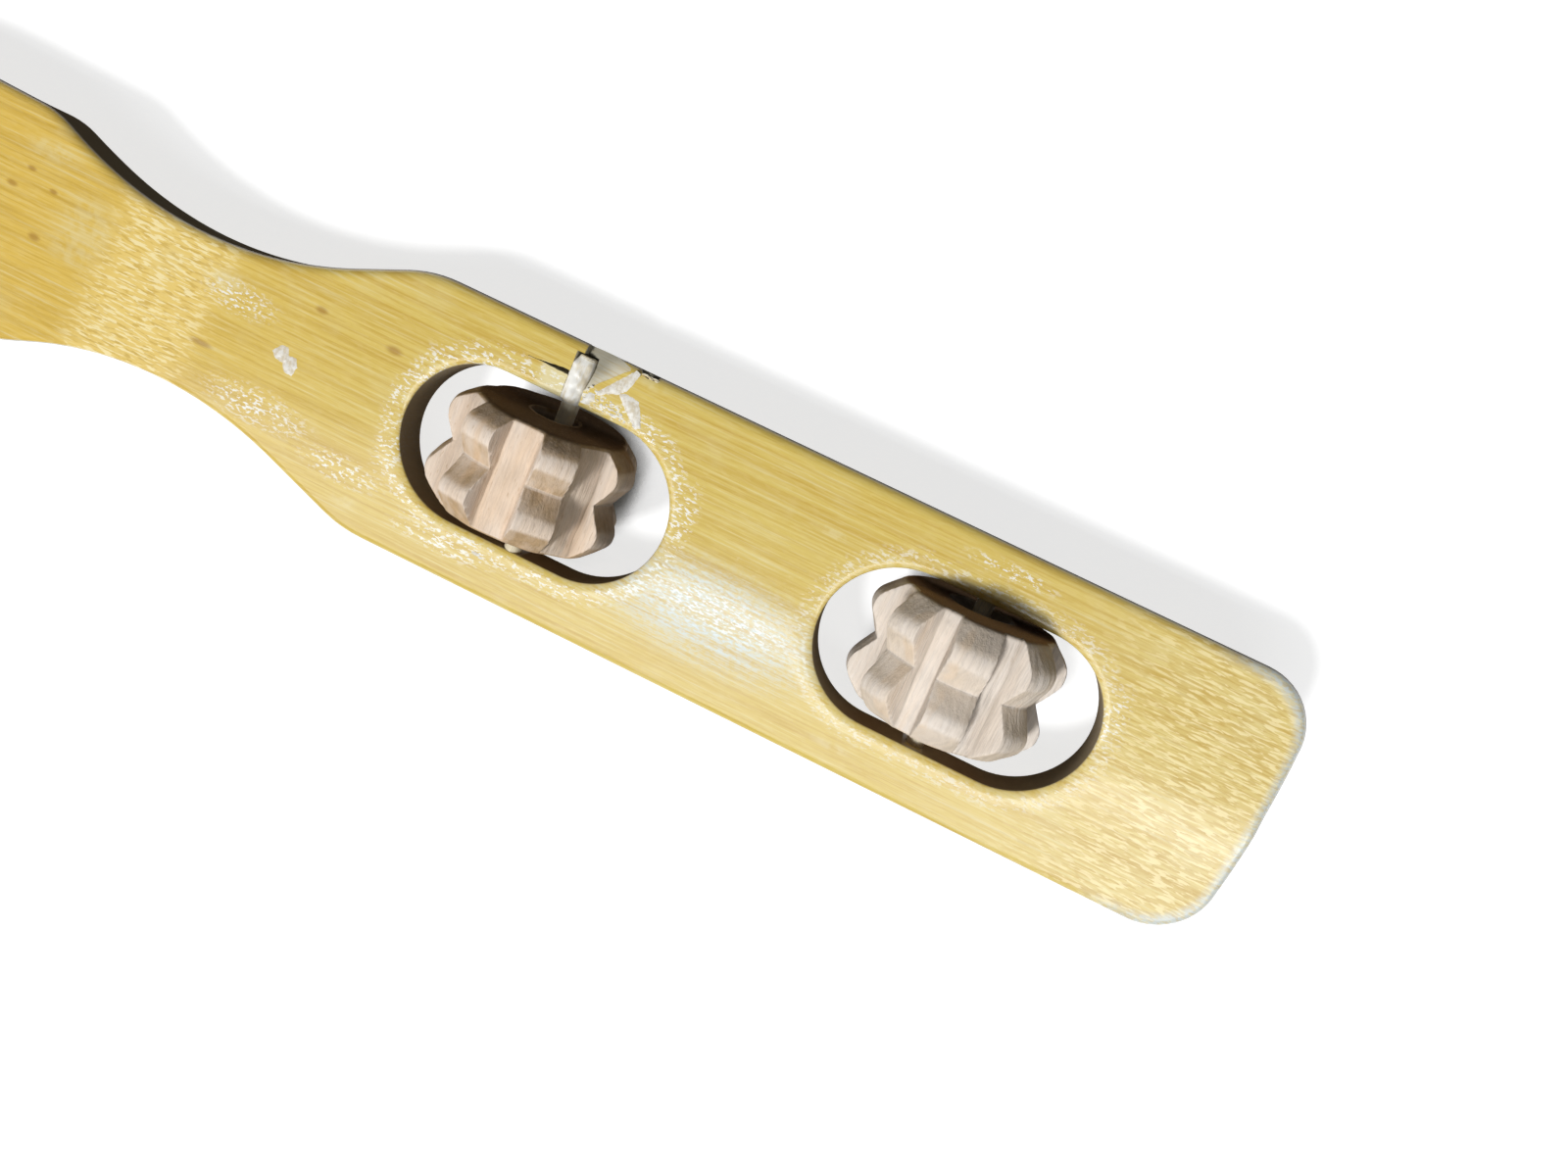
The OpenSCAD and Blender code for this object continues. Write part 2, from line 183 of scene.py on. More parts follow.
class Finishes(bpy.types.PropertyGroup):
    """Colours of the woods and the glue"""
    __annotations__ = colours(
        bamboo_grip=((0.79, 0.54, 0.11), "Deeper yellow of the grip"),
        bamboo_plate=((0.72, 0.55, 0.14), "Paler yellow of the plate"),
        bamboo_end=((0.79, 0.63, 0.24), "Palest yellow, at the plate's end"),
        bamboo_fibre=((0.56, 0.35, 0.05), "Darker fibres of the bamboo"),
        bamboo_haze=((0.83, 0.75, 0.45), "Pale lacquer and worn places"),
        bamboo_dash=((0.90, 0.67, 0.22), "Golden band of the node"),
        bamboo_cream=((0.98, 0.84, 0.46), "Pale dashes at the node and the plate's end"),
        # Painted glints
        bamboo_speck=((0.93, 0.93, 0.88), "White specks in the lacquer"),
        # Painted highlight: the glare on the bridge and the lit edges, partly wear at the plate's end
        bamboo_milk=((0.67, 0.74, 0.75), "Whitened lacquer and worn edges"),
        bamboo_wall=((0.33, 0.26, 0.185), "Bare cut sides of the strip"),
        bamboo_spot=((0.36, 0.17, 0.03), "Brown spots"),
        bamboo_split=((0.74, 0.69, 0.54), "Freshly split bamboo"),
        brown_wood=((0.79, 0.645, 0.515), "Wood of the grip-side roller"),
        brown_end=((0.47, 0.32, 0.175), "End grain of the grip-side roller"),
        pale_wood=((0.80, 0.70, 0.60), "Wood of the end-side roller"),
        pale_end=((0.70, 0.59, 0.47), "End grain of the end-side roller"),
        # Painted shade: the rollers' end faces face away from the light
        end_stain=((0.17, 0.10, 0.055), "Dirt on the rollers' end faces"),
        pin=((0.79, 0.69, 0.49), "Bamboo of the pins"),
        glue=((0.94, 0.92, 0.86), "Hardened glue"),
        glue_shade=((0.72, 0.61, 0.40), "Yellowed streaks in the glue"))


class StageValues(bpy.types.PropertyGroup):
    """Floor and lamps"""
    __annotations__ = {
        **strengths(
            key=(2.45, "NONE", "Strength of the key light"),
            window=(3.7, "POWER", "Power of the broad light behind the strip light"),
            strip=(0.85, "POWER", "Power of the long overhead light"),
            ambient=(0.06, "NONE", "Strength of the light all round"),
            floor_glow=(0.75, "NONE", "How white the floor shows of itself")),
        **angles(key_size=(10, "Angle that the key light spans")),
        **colours(floor=((0.45, 0.45, 0.45), "Colour of the floor"))}


class ScratcherValues(bpy.types.PropertyGroup):
    """All values of the back scratcher"""
    strip: PointerProperty(type=StripSizes)
    rollers: PointerProperty(type=RollerSizes)
    finishes: PointerProperty(type=Finishes)
    stage: PointerProperty(type=StageValues)


# Small tools for meshes

def corner_arc(before, corner, after, radius, spacing):
    """Points of the arc that rounds a corner, limited by the shorter of its two sides."""
    to_before = (before - corner).normalized()
    to_after = (after - corner).normalized()
    half = to_before.angle(to_after) / 2
    reach = min(radius / math.tan(half), 0.88 * min((before - corner).length, (after - corner).length))
    radius = reach * math.tan(half)
    centre = corner + (to_before + to_after).normalized() * radius / math.sin(half)
    first = corner + to_before * reach - centre
    last = corner + to_after * reach - centre
    start = math.atan2(first.y, first.x)
    sweep = math.atan2(first.x * last.y - first.y * last.x, first.dot(last))
    steps = max(5, math.ceil(abs(sweep) * radius / spacing))
    return [centre + radius * Vector((math.cos(start + sweep * i / steps),
                                      math.sin(start + sweep * i / steps))) for i in range(steps + 1)]


def rounded_path(corners, spacing):
    """Path through [x, y, radius] corners; a radius of 0 keeps the corner."""
    points = [Vector(corner[:2]) for corner in corners]
    path = []
    for i, corner in enumerate(corners):
        if corner[2] == 0:
            path.append(points[i])
        else:
            path += corner_arc(points[i - 1], points[i], points[i + 1], corner[2], spacing)
    return path


def filled_path(path, spacing):
    """The closed path with points added so that none lie further apart than the spacing."""
    filled = []
    for a, b in zip(path, path[1:] + path[:1]):
        steps = max(1, math.ceil((b - a).length / spacing))
        filled += [a.lerp(b, k / steps) for k in range(steps)]
    return filled


def loop_normals(loop):
    """Unit normals of a closed loop that point away from the material."""
    count = len(loop)
    normals = []
    for i in range(count):
        along = (loop[(i + 1) % count] - loop[i - 1]).normalized()
        normals.append(Vector((along.y, -along.x)))
    return normals


def inside(points, loop):
    """Which of the points lie inside a closed loop."""
    x, y = points[:, 0], points[:, 1]
    result = np.zeros(len(points), bool)
    corners = np.array(loop)
    for (ax, ay), (bx, by) in zip(corners, np.roll(corners, -1, axis=0)):
        crosses = (ay > y) != (by > y)
        if crosses.any():
            at = (bx - ax) * (y[crosses] - ay) / (by - ay) + ax
            result[crosses] ^= x[crosses] < at
    return result


def smooth_step(value, low, high):
    """Soft step from 0 at low to 1 at high."""
    t = min(1, max(0, (value - low) / (high - low)))
    return t * t * (3 - 2 * t)


def smooth_least(a, b, blend):
    """The lesser of two arrays with their crossing rounded off."""
    h = np.clip(0.5 + 0.5 * (b - a) / blend, 0, 1)
    return b + (a - b) * h - blend * h * (1 - h)


def in_scene(name, data):
    """An object in the scene that holds a mesh, a lamp or a camera."""
    made = bpy.data.objects.new(name, data)
    bpy.context.scene.collection.objects.link(made)
    return made


def finish_shading(mesh, smooth_angle):
    """Smooth faces with edges kept sharp over the angle."""
    mesh.shade_smooth()
    mesh.set_sharp_from_angle(angle=math.radians(smooth_angle))
    mesh.update()


def new_piece(name, verts, faces, material, smooth_angle=35):
    """A mesh object in the scene, smooth apart from its sharp edges."""
    mesh = bpy.data.meshes.new(name)
    mesh.from_pydata([tuple(v) for v in verts], [], [tuple(f) for f in faces])
    mesh.validate()
    mesh.materials.append(material)
    finish_shading(mesh, smooth_angle)
    return in_scene(name, mesh)


def write_values(mesh, name, values):
    """Keeps a number or a vector at each vertex for the materials."""
    values = np.array(values, np.float32)
    kind, key = ("FLOAT", "value") if values.ndim == 1 else ("FLOAT_VECTOR", "vector")
    mesh.attributes.new(name, kind, "POINT").data.foreach_set(key, values.ravel())


def ring_turns(count):
    """Angles round a ring of so many points."""
    return np.arange(count) * 2 * math.pi / count


def ring_noise(turns, scale, along, shift=0.0):
    """Soft noise at each turn round a ring."""
    return np.array([noise.noise(Vector((math.sin(t) * scale, along, math.cos(t) * scale + shift)))
                     for t in turns])


def ring_faces(rings, count, start=0, closed=False, flipped=False):
    """Quads between rings of equal count, numbered ring by ring."""
    faces = []
    for k in range(rings if closed else rings - 1):
        low, high = start + k * count, start + (k + 1) % rings * count
        for i in range(count):
            j = (i + 1) % count
            faces.append((low + i, high + i, high + j, low + j) if flipped
                         else (low + i, low + j, high + j, high + i))
    return faces


def capped_rings(rings, count, start=0):
    """Quads between rings, with a face over the first ring and the last."""
    last = start + (rings - 1) * count
    return ring_faces(rings, count, start) + [tuple(reversed(range(start, start + count))),
                                              tuple(range(last, last + count))]


def within(points, loops):
    """Which of the points lie inside the first loop and outside the others."""
    result = inside(points, loops[0])
    for hole in loops[1:]:
        result &= ~inside(points, hole)
    return result


def nearest_gaps(points, others):
    """Distance from each point to the nearest of the others."""
    return np.array([np.sqrt(np.min(np.sum((others - p) ** 2, axis=1))) for p in points])


def net_faces(points, borders, tolerance):
    """Triangles that fill the first border round the others; a border is a run of points (start, count)."""
    edges = [(start + i, start + (i + 1) % count) for start, count in borders for i in range(count)]
    net = delaunay_2d_cdt(points, edges, [], 0, tolerance)
    verts, triangles, origins = net[0], net[2], net[3]
    middles = np.array([sum((verts[i] for i in face), Vector((0, 0))) / len(face) for face in triangles])
    loops = [points[start:start + count] for start, count in borders]
    faces = []
    for face, solid in zip(triangles, within(middles, loops)):
        if solid:
            a, b, c = (verts[i] for i in face)
            corners = [origins[i][0] for i in face]
            faces.append(corners if (b - a).cross(c - a) >= 0 else corners[::-1])
    return faces


def pin_line(node):
    """Middle's x and z, radius and far end of a pin's solid."""
    low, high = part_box(node)
    return (low.x + high.x) / 2, (low.z + high.z) / 2, (high.x - low.x) / 2, high.y


def carry(piece, body, slot, *nodes):
    """Ties a piece to its body and hides the nodes that it stands for; the material slot is not used."""
    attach(piece, body)
    if nodes:
        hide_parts(*nodes)


# Small tools for materials

def shade(colour, share):
    """A colour darkened to a share of itself."""
    return [share * c for c in colour]


class Nodes:
    """Tools for a node tree."""

    def __init__(self, tree):
        self.tree = tree

    def put(self, socket, value):
        """Sets a socket, or links another one to it."""
        if isinstance(value, bpy.types.NodeSocket):
            self.tree.links.new(value, socket)
        elif socket.type == "RGBA" and len(value) == 3:
            socket.default_value = (*value, 1)
        else:
            socket.default_value = value

    def node(self, kind, inputs=(), **settings):
        """A new node with its settings and inputs."""
        made = self.tree.nodes.new(kind)
        for key, value in settings.items():
            setattr(made, key, value)
        for key, value in dict(inputs).items():
            self.put(made.inputs[key], value)
        return made

    def math(self, operation, a, b=0.0):
        return self.node("ShaderNodeMath", {0: a, 1: b}, operation=operation).outputs[0]

    def times(self, first, *others):
        for other in others:
            first = self.math("MULTIPLY", first, other)
        return first

    def plus(self, a, b):
        return self.math("ADD", a, b)

    def most(self, a, b):
        return self.math("MAXIMUM", a, b)

    def vector(self, operation, a, b=(0, 0, 0), output="Vector"):
        return self.node("ShaderNodeVectorMath", {0: a, 1: b}, operation=operation).outputs[output]

    def length(self, a):
        return self.vector("LENGTH", a, output="Value")

    def distance(self, x, y):
        return self.length(self.node("ShaderNodeCombineXYZ", {0: x, 1: y}).outputs[0])

    def parts(self, vector):
        return self.node("ShaderNodeSeparateXYZ", {0: vector}).outputs

    def step(self, value, low, high, to_low=0.0, to_high=1.0):
        """Soft step of a value, from to_low at low to to_high at high."""
        return self.node("ShaderNodeMapRange", {0: value, 1: low, 2: high, 3: to_low, 4: to_high},
                         interpolation_type="SMOOTHSTEP").outputs[0]

    def tint(self, body, colour, mask, weight=None):
        """The body's colour with another laid over it, by a mask and its weight."""
        factor = mask if weight is None else self.times(mask, weight)
        return self.node("ShaderNodeMix", {0: factor, 6: body, 7: colour}, data_type="RGBA").outputs[2]

    def noise(self, vector, scale, detail=2.0, roughness=0.5, distortion=0.0, stretch=None):
        """Noise over a vector in millimetres, drawn out where the stretch is below 1."""
        if stretch:
            vector = self.vector("MULTIPLY", vector, stretch)
        return self.node("ShaderNodeTexNoise", {"Vector": vector, "Scale": scale, "Detail": detail,
                                                "Roughness": roughness, "Distortion": distortion}).outputs[0]

    def bump(self, height, millimetres):
        return self.node("ShaderNodeBump", {"Strength": 1.0, "Distance": millimetres * MM,
                                            "Height": height}).outputs[0]

    def attribute(self, name, output="Fac"):
        return self.node("ShaderNodeAttribute", attribute_name=name).outputs[output]

    def place(self):
        """The object's own coordinates in millimetres."""
        return self.vector("MULTIPLY", self.node("ShaderNodeTexCoord").outputs["Object"], (1 / MM,) * 3)

    def spots(self, grain, spots):
        """Soft oval spots, each (x, y, half length, half width) in millimetres on the flat pattern."""
        total = 0.0
        for x, y, half_length, half_width in spots:
            from_middle = self.vector("SUBTRACT", grain, (x, y, 0))
            scaled = self.vector("MULTIPLY", from_middle, (1 / half_length, 1 / half_width, 0))
            total = self.most(self.step(self.length(scaled), 1.0, 0.25), total)
        return total


class Finish(Nodes):
    """A node material under construction."""

    def __init__(self, name):
        self.material = bpy.data.materials.new(name)
        self.material.use_nodes = True
        super().__init__(self.material.node_tree)
        self.tree.nodes.clear()
        self.output = self.node("ShaderNodeOutputMaterial")
        self.surface = self.node("ShaderNodeBsdfPrincipled")
        self.put(self.output.inputs[0], self.surface.outputs[0])

    def set(self, **inputs):
        """Sets or links inputs of the surface."""
        for key, value in inputs.items():
            self.put(self.surface.inputs[key.replace("_", " ")], value)


# Marks on the strip in millimetres from the grip-side slot's middle: x, y, half length, half width
BROWN_SPOTS = ((-59.3, -4.3, 2.9, 0.8), (-28.1, 8.4, 2.0, 1.0), (-41.6, 9.2, 1.6, 0.8),
               (-95.9, 9.6, 1.2, 0.6), (-98.6, 6.0, 1.5, 0.7), (-91.2, 7.6, 1.1, 0.6),
               (-92.4, -0.6, 1.6, 0.9), (-150.0, 4.0, 1.8, 0.7), (-213.0, -5.0, 1.6, 0.8))
HAZE_PATCHES = ((-84.0, 4.6, 7.0, 7.0), (-85.5, 0.2, 6.0, 3.6), (-93.0, 13.6, 6.5, 2.4),
                (-58.5, 6.6, 6.0, 3.4), (-27.5, -17.8, 4.0, 1.6), (-10.0, -17.2, 2.4, 1.2),
                (47.0, 12.5, 5.0, 1.0), (12.5, 21.0, 4.0, 1.2), (61.0, -18.4, 6.0, 1.2))
# Where the bridge's lacquer gets a painted glare
GLARE_PATCHES = ((35.0, -8.0, 27.0, 11.0),)
# Where white specks are painted as glints
GLINT_PATCHES = ((-55.2, 5.1, 9.0, 3.6), (-47.0, -10.0, 13.0, 4.2), (-30.0, -13.2, 10.0, 3.2),
                 (-10.0, -17.0, 12.0, 2.4), (36.0, -7.0, 18.0, 4.6), (-23.4, -6.0, 3.6, 8.0),
                 (-21.0, 8.0, 4.4, 6.0), (-15.0, 13.2, 6.0, 2.4), (24.8, 4.0, 3.2, 8.0),
                 (16.0, 13.6, 6.0, 2.2), (8.0, 14.6, 6.0, 1.9), (97.2, 4.6, 3.4, 8.0),
                 (74.0, 18.8, 10.0, 1.8))

# How far the bamboo's fibres, threads and dashes are drawn out along the strip
FIBRE_DRAW = (0.012, 1, 0.3)
THREAD_DRAW = (0.022, 1, 0.3)
DASH_DRAW = (0.16, 1, 0.3)
NODE_SLANT = -0.16


def bamboo_finish(name, values, strip, lacquered):
    """Bamboo with fibres, dashes, spots, haze and wear, painted glints, glare and edge highlights, lacquered
    or bare as on the cut sides.
    """
    finish = Finish(name)
    times, plus, most, step, tint = finish.times, finish.plus, finish.most, finish.step, finish.tint
    grain = finish.attribute("grain", "Vector")
    wall = finish.attribute("wall")
    along, across = finish.parts(grain)[:2]
    long_fibres = finish.noise(grain, 0.55, 3, 0.6, stretch=FIBRE_DRAW)
    threads = finish.noise(grain, 1.9, 3, 0.65, stretch=THREAD_DRAW)
    dashes = finish.noise(grain, 2.0, 2, 0.55, 0.25, DASH_DRAW)
    pale_dashes = finish.noise(grain, 2.3, 2, 0.5, 0.3, DASH_DRAW)
    grains = finish.noise(grain, 2.5, 2, 0.6, stretch=(0.4, 1, 1))

    # Paler from the grip to the plate's end
    body = tint(values.bamboo_grip, values.bamboo_plate, step(along, -110, 0))
    body = tint(body, values.bamboo_end, step(along, 60, 124))
    body = tint(body, values.bamboo_fibre, step(long_fibres, 0.42, 0.66), 0.42)
    body = tint(body, values.bamboo_fibre, step(threads, 0.48, 0.66), 0.55)
    body = tint(body, values.bamboo_haze, step(threads, 0.48, 0.30), 0.42)

    # The node's band crosses the grip at a slant; the plate's end is dashed in the same way
    slanted = plus(along, times(across, NODE_SLANT))
    node_band = times(step(slanted, -84, -76), step(slanted, -56, -64))
    dashed = most(node_band, times(step(along, 84, 112), 0.85))
    dashed = plus(times(dashed, 0.75), 0.08)
    body = tint(body, values.bamboo_dash, node_band, 0.7)
    body = tint(body, values.bamboo_fibre, step(dashes, 0.51, 0.60), times(dashed, 0.65))
    body = tint(body, values.bamboo_cream, step(pale_dashes, 0.51, 0.59), dashed)

    # Hazy lacquer in placed patches and faintly all over, and brown spots
    patchy = step(finish.noise(grain, 0.5, 3), 0.3, 0.6)
    cloud = step(finish.noise(grain, 0.09, 3, 0.6), 0.5, 0.75)
    haze = most(times(finish.spots(grain, HAZE_PATCHES), patchy), times(cloud, 0.5))
    body = tint(body, values.bamboo_haze, haze, 0.34)
    body = tint(body, values.bamboo_spot, finish.spots(grain, BROWN_SPOTS), 0.6)

    # A pale ring by the distance from the nearer slot's rim, part wear and part painted highlight
    pitch = strip.slot_pitch / MM
    straight = (strip.slot_length - strip.slot_width) / 2 / MM
    from_bridge = finish.math("ABSOLUTE", plus(along, -pitch / 2))
    from_slot = finish.math("ABSOLUTE", plus(from_bridge, -pitch / 2))
    beyond = most(plus(from_slot, -straight), 0.0)
    from_rim = plus(finish.distance(beyond, across), -strip.slot_width / 2 / MM)
    rim_noise = step(finish.noise(grain, 2.2, 3, stretch=(0.45, 1, 1)), 0.42, 0.6)
    rim_wear_and_highlight = times(step(from_rim, 3.2, 0.4), rim_noise, 0.45)
    body = tint(body, values.bamboo_haze, rim_wear_and_highlight, 0.72)

    # A pale edge follows the rounded corners of the plate's end, part wear and part painted highlight
    half_width, corner = strip.plate_width / 2 / MM, strip.end_corner / MM
    bow = times(across, across, strip.end_bow / MM / half_width ** 2)
    past = plus(bow, corner - (strip.end_margin / MM + pitch))
    past = most(plus(along, past), 0.0)
    aside = most(plus(finish.math("ABSOLUTE", across), corner - half_width), 0.0)
    end = times(step(finish.distance(past, aside), corner - 2.6, corner - 0.5), step(along, 104, 116))
    body = tint(body, values.bamboo_milk, end, step(rim_noise, 0.0, 0.7, 0.45, 0.85))

    # Glue has bleached the sliver between the crack and the slot
    sliver = times(step(along, -6.0, -3.6), step(along, 1.4, 0.8),
                   step(across, 12.9, 13.1), step(across, 17.6, 17.2))
    body = tint(body, values.bamboo_haze, sliver, 0.7)

    # Painted glare on the bridge's lacquer, and white specks painted as glints in patches and round the
    # slots
    milk_and_glare = times(finish.spots(grain, GLARE_PATCHES), step(threads, 0.60, 0.40, 0.4, 1.0),
                 step(grains, 0.40, 0.56, 0.4, 1.0))
    body = tint(body, values.bamboo_milk, milk_and_glare)
    # Painted glints round the slots' rims
    rim_band = times(step(from_rim, 0.5, 1.3), step(from_rim, 4.4, 2.2), step(along, 30, 50, 0.9, 0.5))
    glint_patches = most(finish.spots(grain, GLINT_PATCHES), rim_band)
    body = tint(body, values.bamboo_speck, times(step(grains, 0.53, 0.61), glint_patches), 0.9)

    # The cut sides are darker; a painted highlight lies pale along the lower long edge
    dark = times(wall, 0.9)
    if lacquered:
        # Painted highlight along the lower long edge
        wear_and_highlight = times(step(across, -2, -6), step(from_rim, 1, 3))
        body = tint(body, values.bamboo_milk, wear_and_highlight, step(wall, 0.0, 0.3))
        dark = times(dark, finish.math("SUBTRACT", 1.0, wear_and_highlight))
    finish.set(Base_Color=tint(body, values.bamboo_wall, dark), Normal=finish.bump(threads, 0.02))
    if lacquered:
        fine = finish.noise(grain, 2.6, 2, 0.6, stretch=(0.55, 1, 1))
        lacquer = plus(plus(times(threads, 0.6), fine), times(step(grains, 0.58, 0.70), 0.5))
        finish.set(Coat_Normal=finish.bump(lacquer, 0.006), Roughness=step(rim_wear_and_highlight, 0, 1, 0.3, 0.45),
                   Coat_Weight=step(wall, 0.0, 0.7, 0.9, 0.0), Coat_Roughness=0.08,
                   IOR=1.5, Specular_IOR_Level=0.45)
    else:
        finish.set(Roughness=0.8, IOR=1.01, Specular_IOR_Level=0.03)
    return finish.material


def split_finish(values):
    """Freshly split bamboo, with bare fibres along the strip, and painted shade where it lies deep."""
    finish = Finish("split_bamboo")
    grain = finish.attribute("grain", "Vector")
    fibres = finish.noise(grain, 3.0, 3, 0.6, stretch=(0.05, 1, 0.2))
    deep_shade = finish.step(finish.parts(grain)[2], 0.3, 1.5)
    body = finish.tint(values.bamboo_split, values.bamboo_fibre, finish.step(fibres, 0.45, 0.7), 0.5)
    # Painted shade where the split lies deep
    body = finish.tint(body, shade(values.bamboo_split, 0.3), deep_shade, 0.8)
    finish.set(Base_Color=body, Roughness=0.7, Normal=finish.bump(fibres, 0.06))
    return finish.material


def roller_finish(name, wood, end_wood, face_shade, lean):
    """Bare wood with fibres along the roller, darker, ringed end grain and painted shade on the end faces.
    """
    finish = Finish(name)
    times, plus, step, tint = finish.times, finish.plus, finish.step, finish.tint
    place = finish.place()
    fibres = finish.noise(place, 2.4, 4, 0.62, stretch=(1, 0.07, 1))
    broad = finish.noise(place, 0.34, 3, 0.6, stretch=(1, 0.12, 1))
    pores = finish.noise(place, 4.2, 2, stretch=(1, 0.16, 1))
    streaks = finish.noise(place, 0.26, 2, stretch=(1, 0.05, 1))

    # Growth rings lie in leaning sheets
    sheets = finish.vector("DOT_PRODUCT", place, lean, "Value")
    sheets = plus(sheets, times(finish.noise(place, 0.16, 2), 7.0))
    rings = plus(times(finish.math("SINE", times(sheets, 5.2)), 0.5), 0.5)

    end_grain = finish.attribute("end_grain")
    body = tint(wood, shade(wood, 0.72), step(fibres, 0.42, 0.68), 0.55)
    body = tint(body, [0.55 * c + 0.45 for c in wood], step(broad, 0.44, 0.68), 0.35)
    body = tint(body, end_wood, step(pores, 0.62, 0.74), 0.5)
    ringed = tint(end_wood, shade(end_wood, 0.6), rings, 0.30)
    ringed = tint(ringed, wood, step(broad, 0.4, 0.6), 0.35)
    body = tint(body, ringed, step(end_grain, 0.30, 0.6), 0.95)
    tan = (wood[0], 0.84 * wood[1], 0.64 * wood[2])
    body = tint(body, tan, step(streaks, 0.56, 0.68), 0.3)
    # Painted shade darkens the end faces
    body = tint(body, face_shade, step(end_grain, 0.84, 0.97), step(fibres, 0.2, 0.5, 0.6, 0.95))
    # Painted shade in the flutes' creases and along the groove between the rows
    body = tint(body, shade(end_wood, 0.3), finish.attribute("crease"), 0.55)
    # Painted shade inside the bore
    body = tint(body, shade(end_wood, 0.35), finish.attribute("hollow"), 0.6)
    finish.set(Base_Color=body, Roughness=step(end_grain, 0.6, 0.95, 0.6, 0.95),
               Normal=finish.bump(plus(fibres, times(pores, 0.5)), 0.11), IOR=1.2, Specular_IOR_Level=0.35)
    return finish.material


def pin_finish(values):
    """Split bamboo turned into a round pin, its fibres along it."""
    finish = Finish("pin_bamboo")
    place = finish.place()
    fibres = finish.noise(place, 3.2, 3, 0.6, stretch=(1, 0.05, 1))
    stains = finish.noise(place, 0.7, 3, 0.6)
    body = finish.tint(values.pin, shade(values.pin, 0.6), finish.step(fibres, 0.45, 0.68), 0.6)
    body = finish.tint(body, values.bamboo_split, finish.step(stains, 0.5, 0.7), 0.4)
    finish.set(Base_Color=body, Roughness=0.5, Normal=finish.bump(fibres, 0.06),
               Coat_Weight=0.25, Coat_Roughness=0.25)
    return finish.material


def glue_finish(name, values, drawn, shading, clear):
    """Hardened, glossy glue with yellowed streaks, clearer in places where it lies as a film."""
    finish = Finish(name)
    place = finish.place()
    milk_and_glare = finish.noise(place, 1.1, 3, 0.6, stretch=drawn)
    body = finish.tint(values.glue, values.glue_shade, finish.step(milk_and_glare, 0.42, 0.66), shading)
    finish.set(Base_Color=body, Roughness=0.26, Normal=finish.bump(finish.noise(place, 1.4, 2), 0.02),
               Coat_Weight=0.5, Coat_Roughness=0.1)
    if clear < 1:
        finish.set(Alpha=finish.step(milk_and_glare, 0.35, 0.65, 0.85, clear))
    return finish.material


# The bamboo strip

# Fineness of the strip's outline
PATH_STEP = 1.6 * MM
OUTLINE_STEP = 1.7 * MM
SLOT_STEP = 1.2 * MM
BOW_STEPS = 8
CORNER_STEPS = 14
TIP_STEPS = 10
ROOT_STEPS = 8
SLOT_STEPS = 40

# Where the upper side's lean sets in, from the first slot's middle to either side
PLATE_LEAN = (-42 * MM, -26 * MM)
GRIP_LEAN = (86 * MM, 106 * MM)

# Rounding of the fingers' edges, how much finer the lower edge is, and lengths of the top face's
# uneven places along and across the strip
FINGER_ROUND = 0.75 * MM
LOWER_FINER = 0.45
BROAD_WAVE = (16 * MM, 7 * MM)
SHORT_WAVE = (6 * MM, 3 * MM)


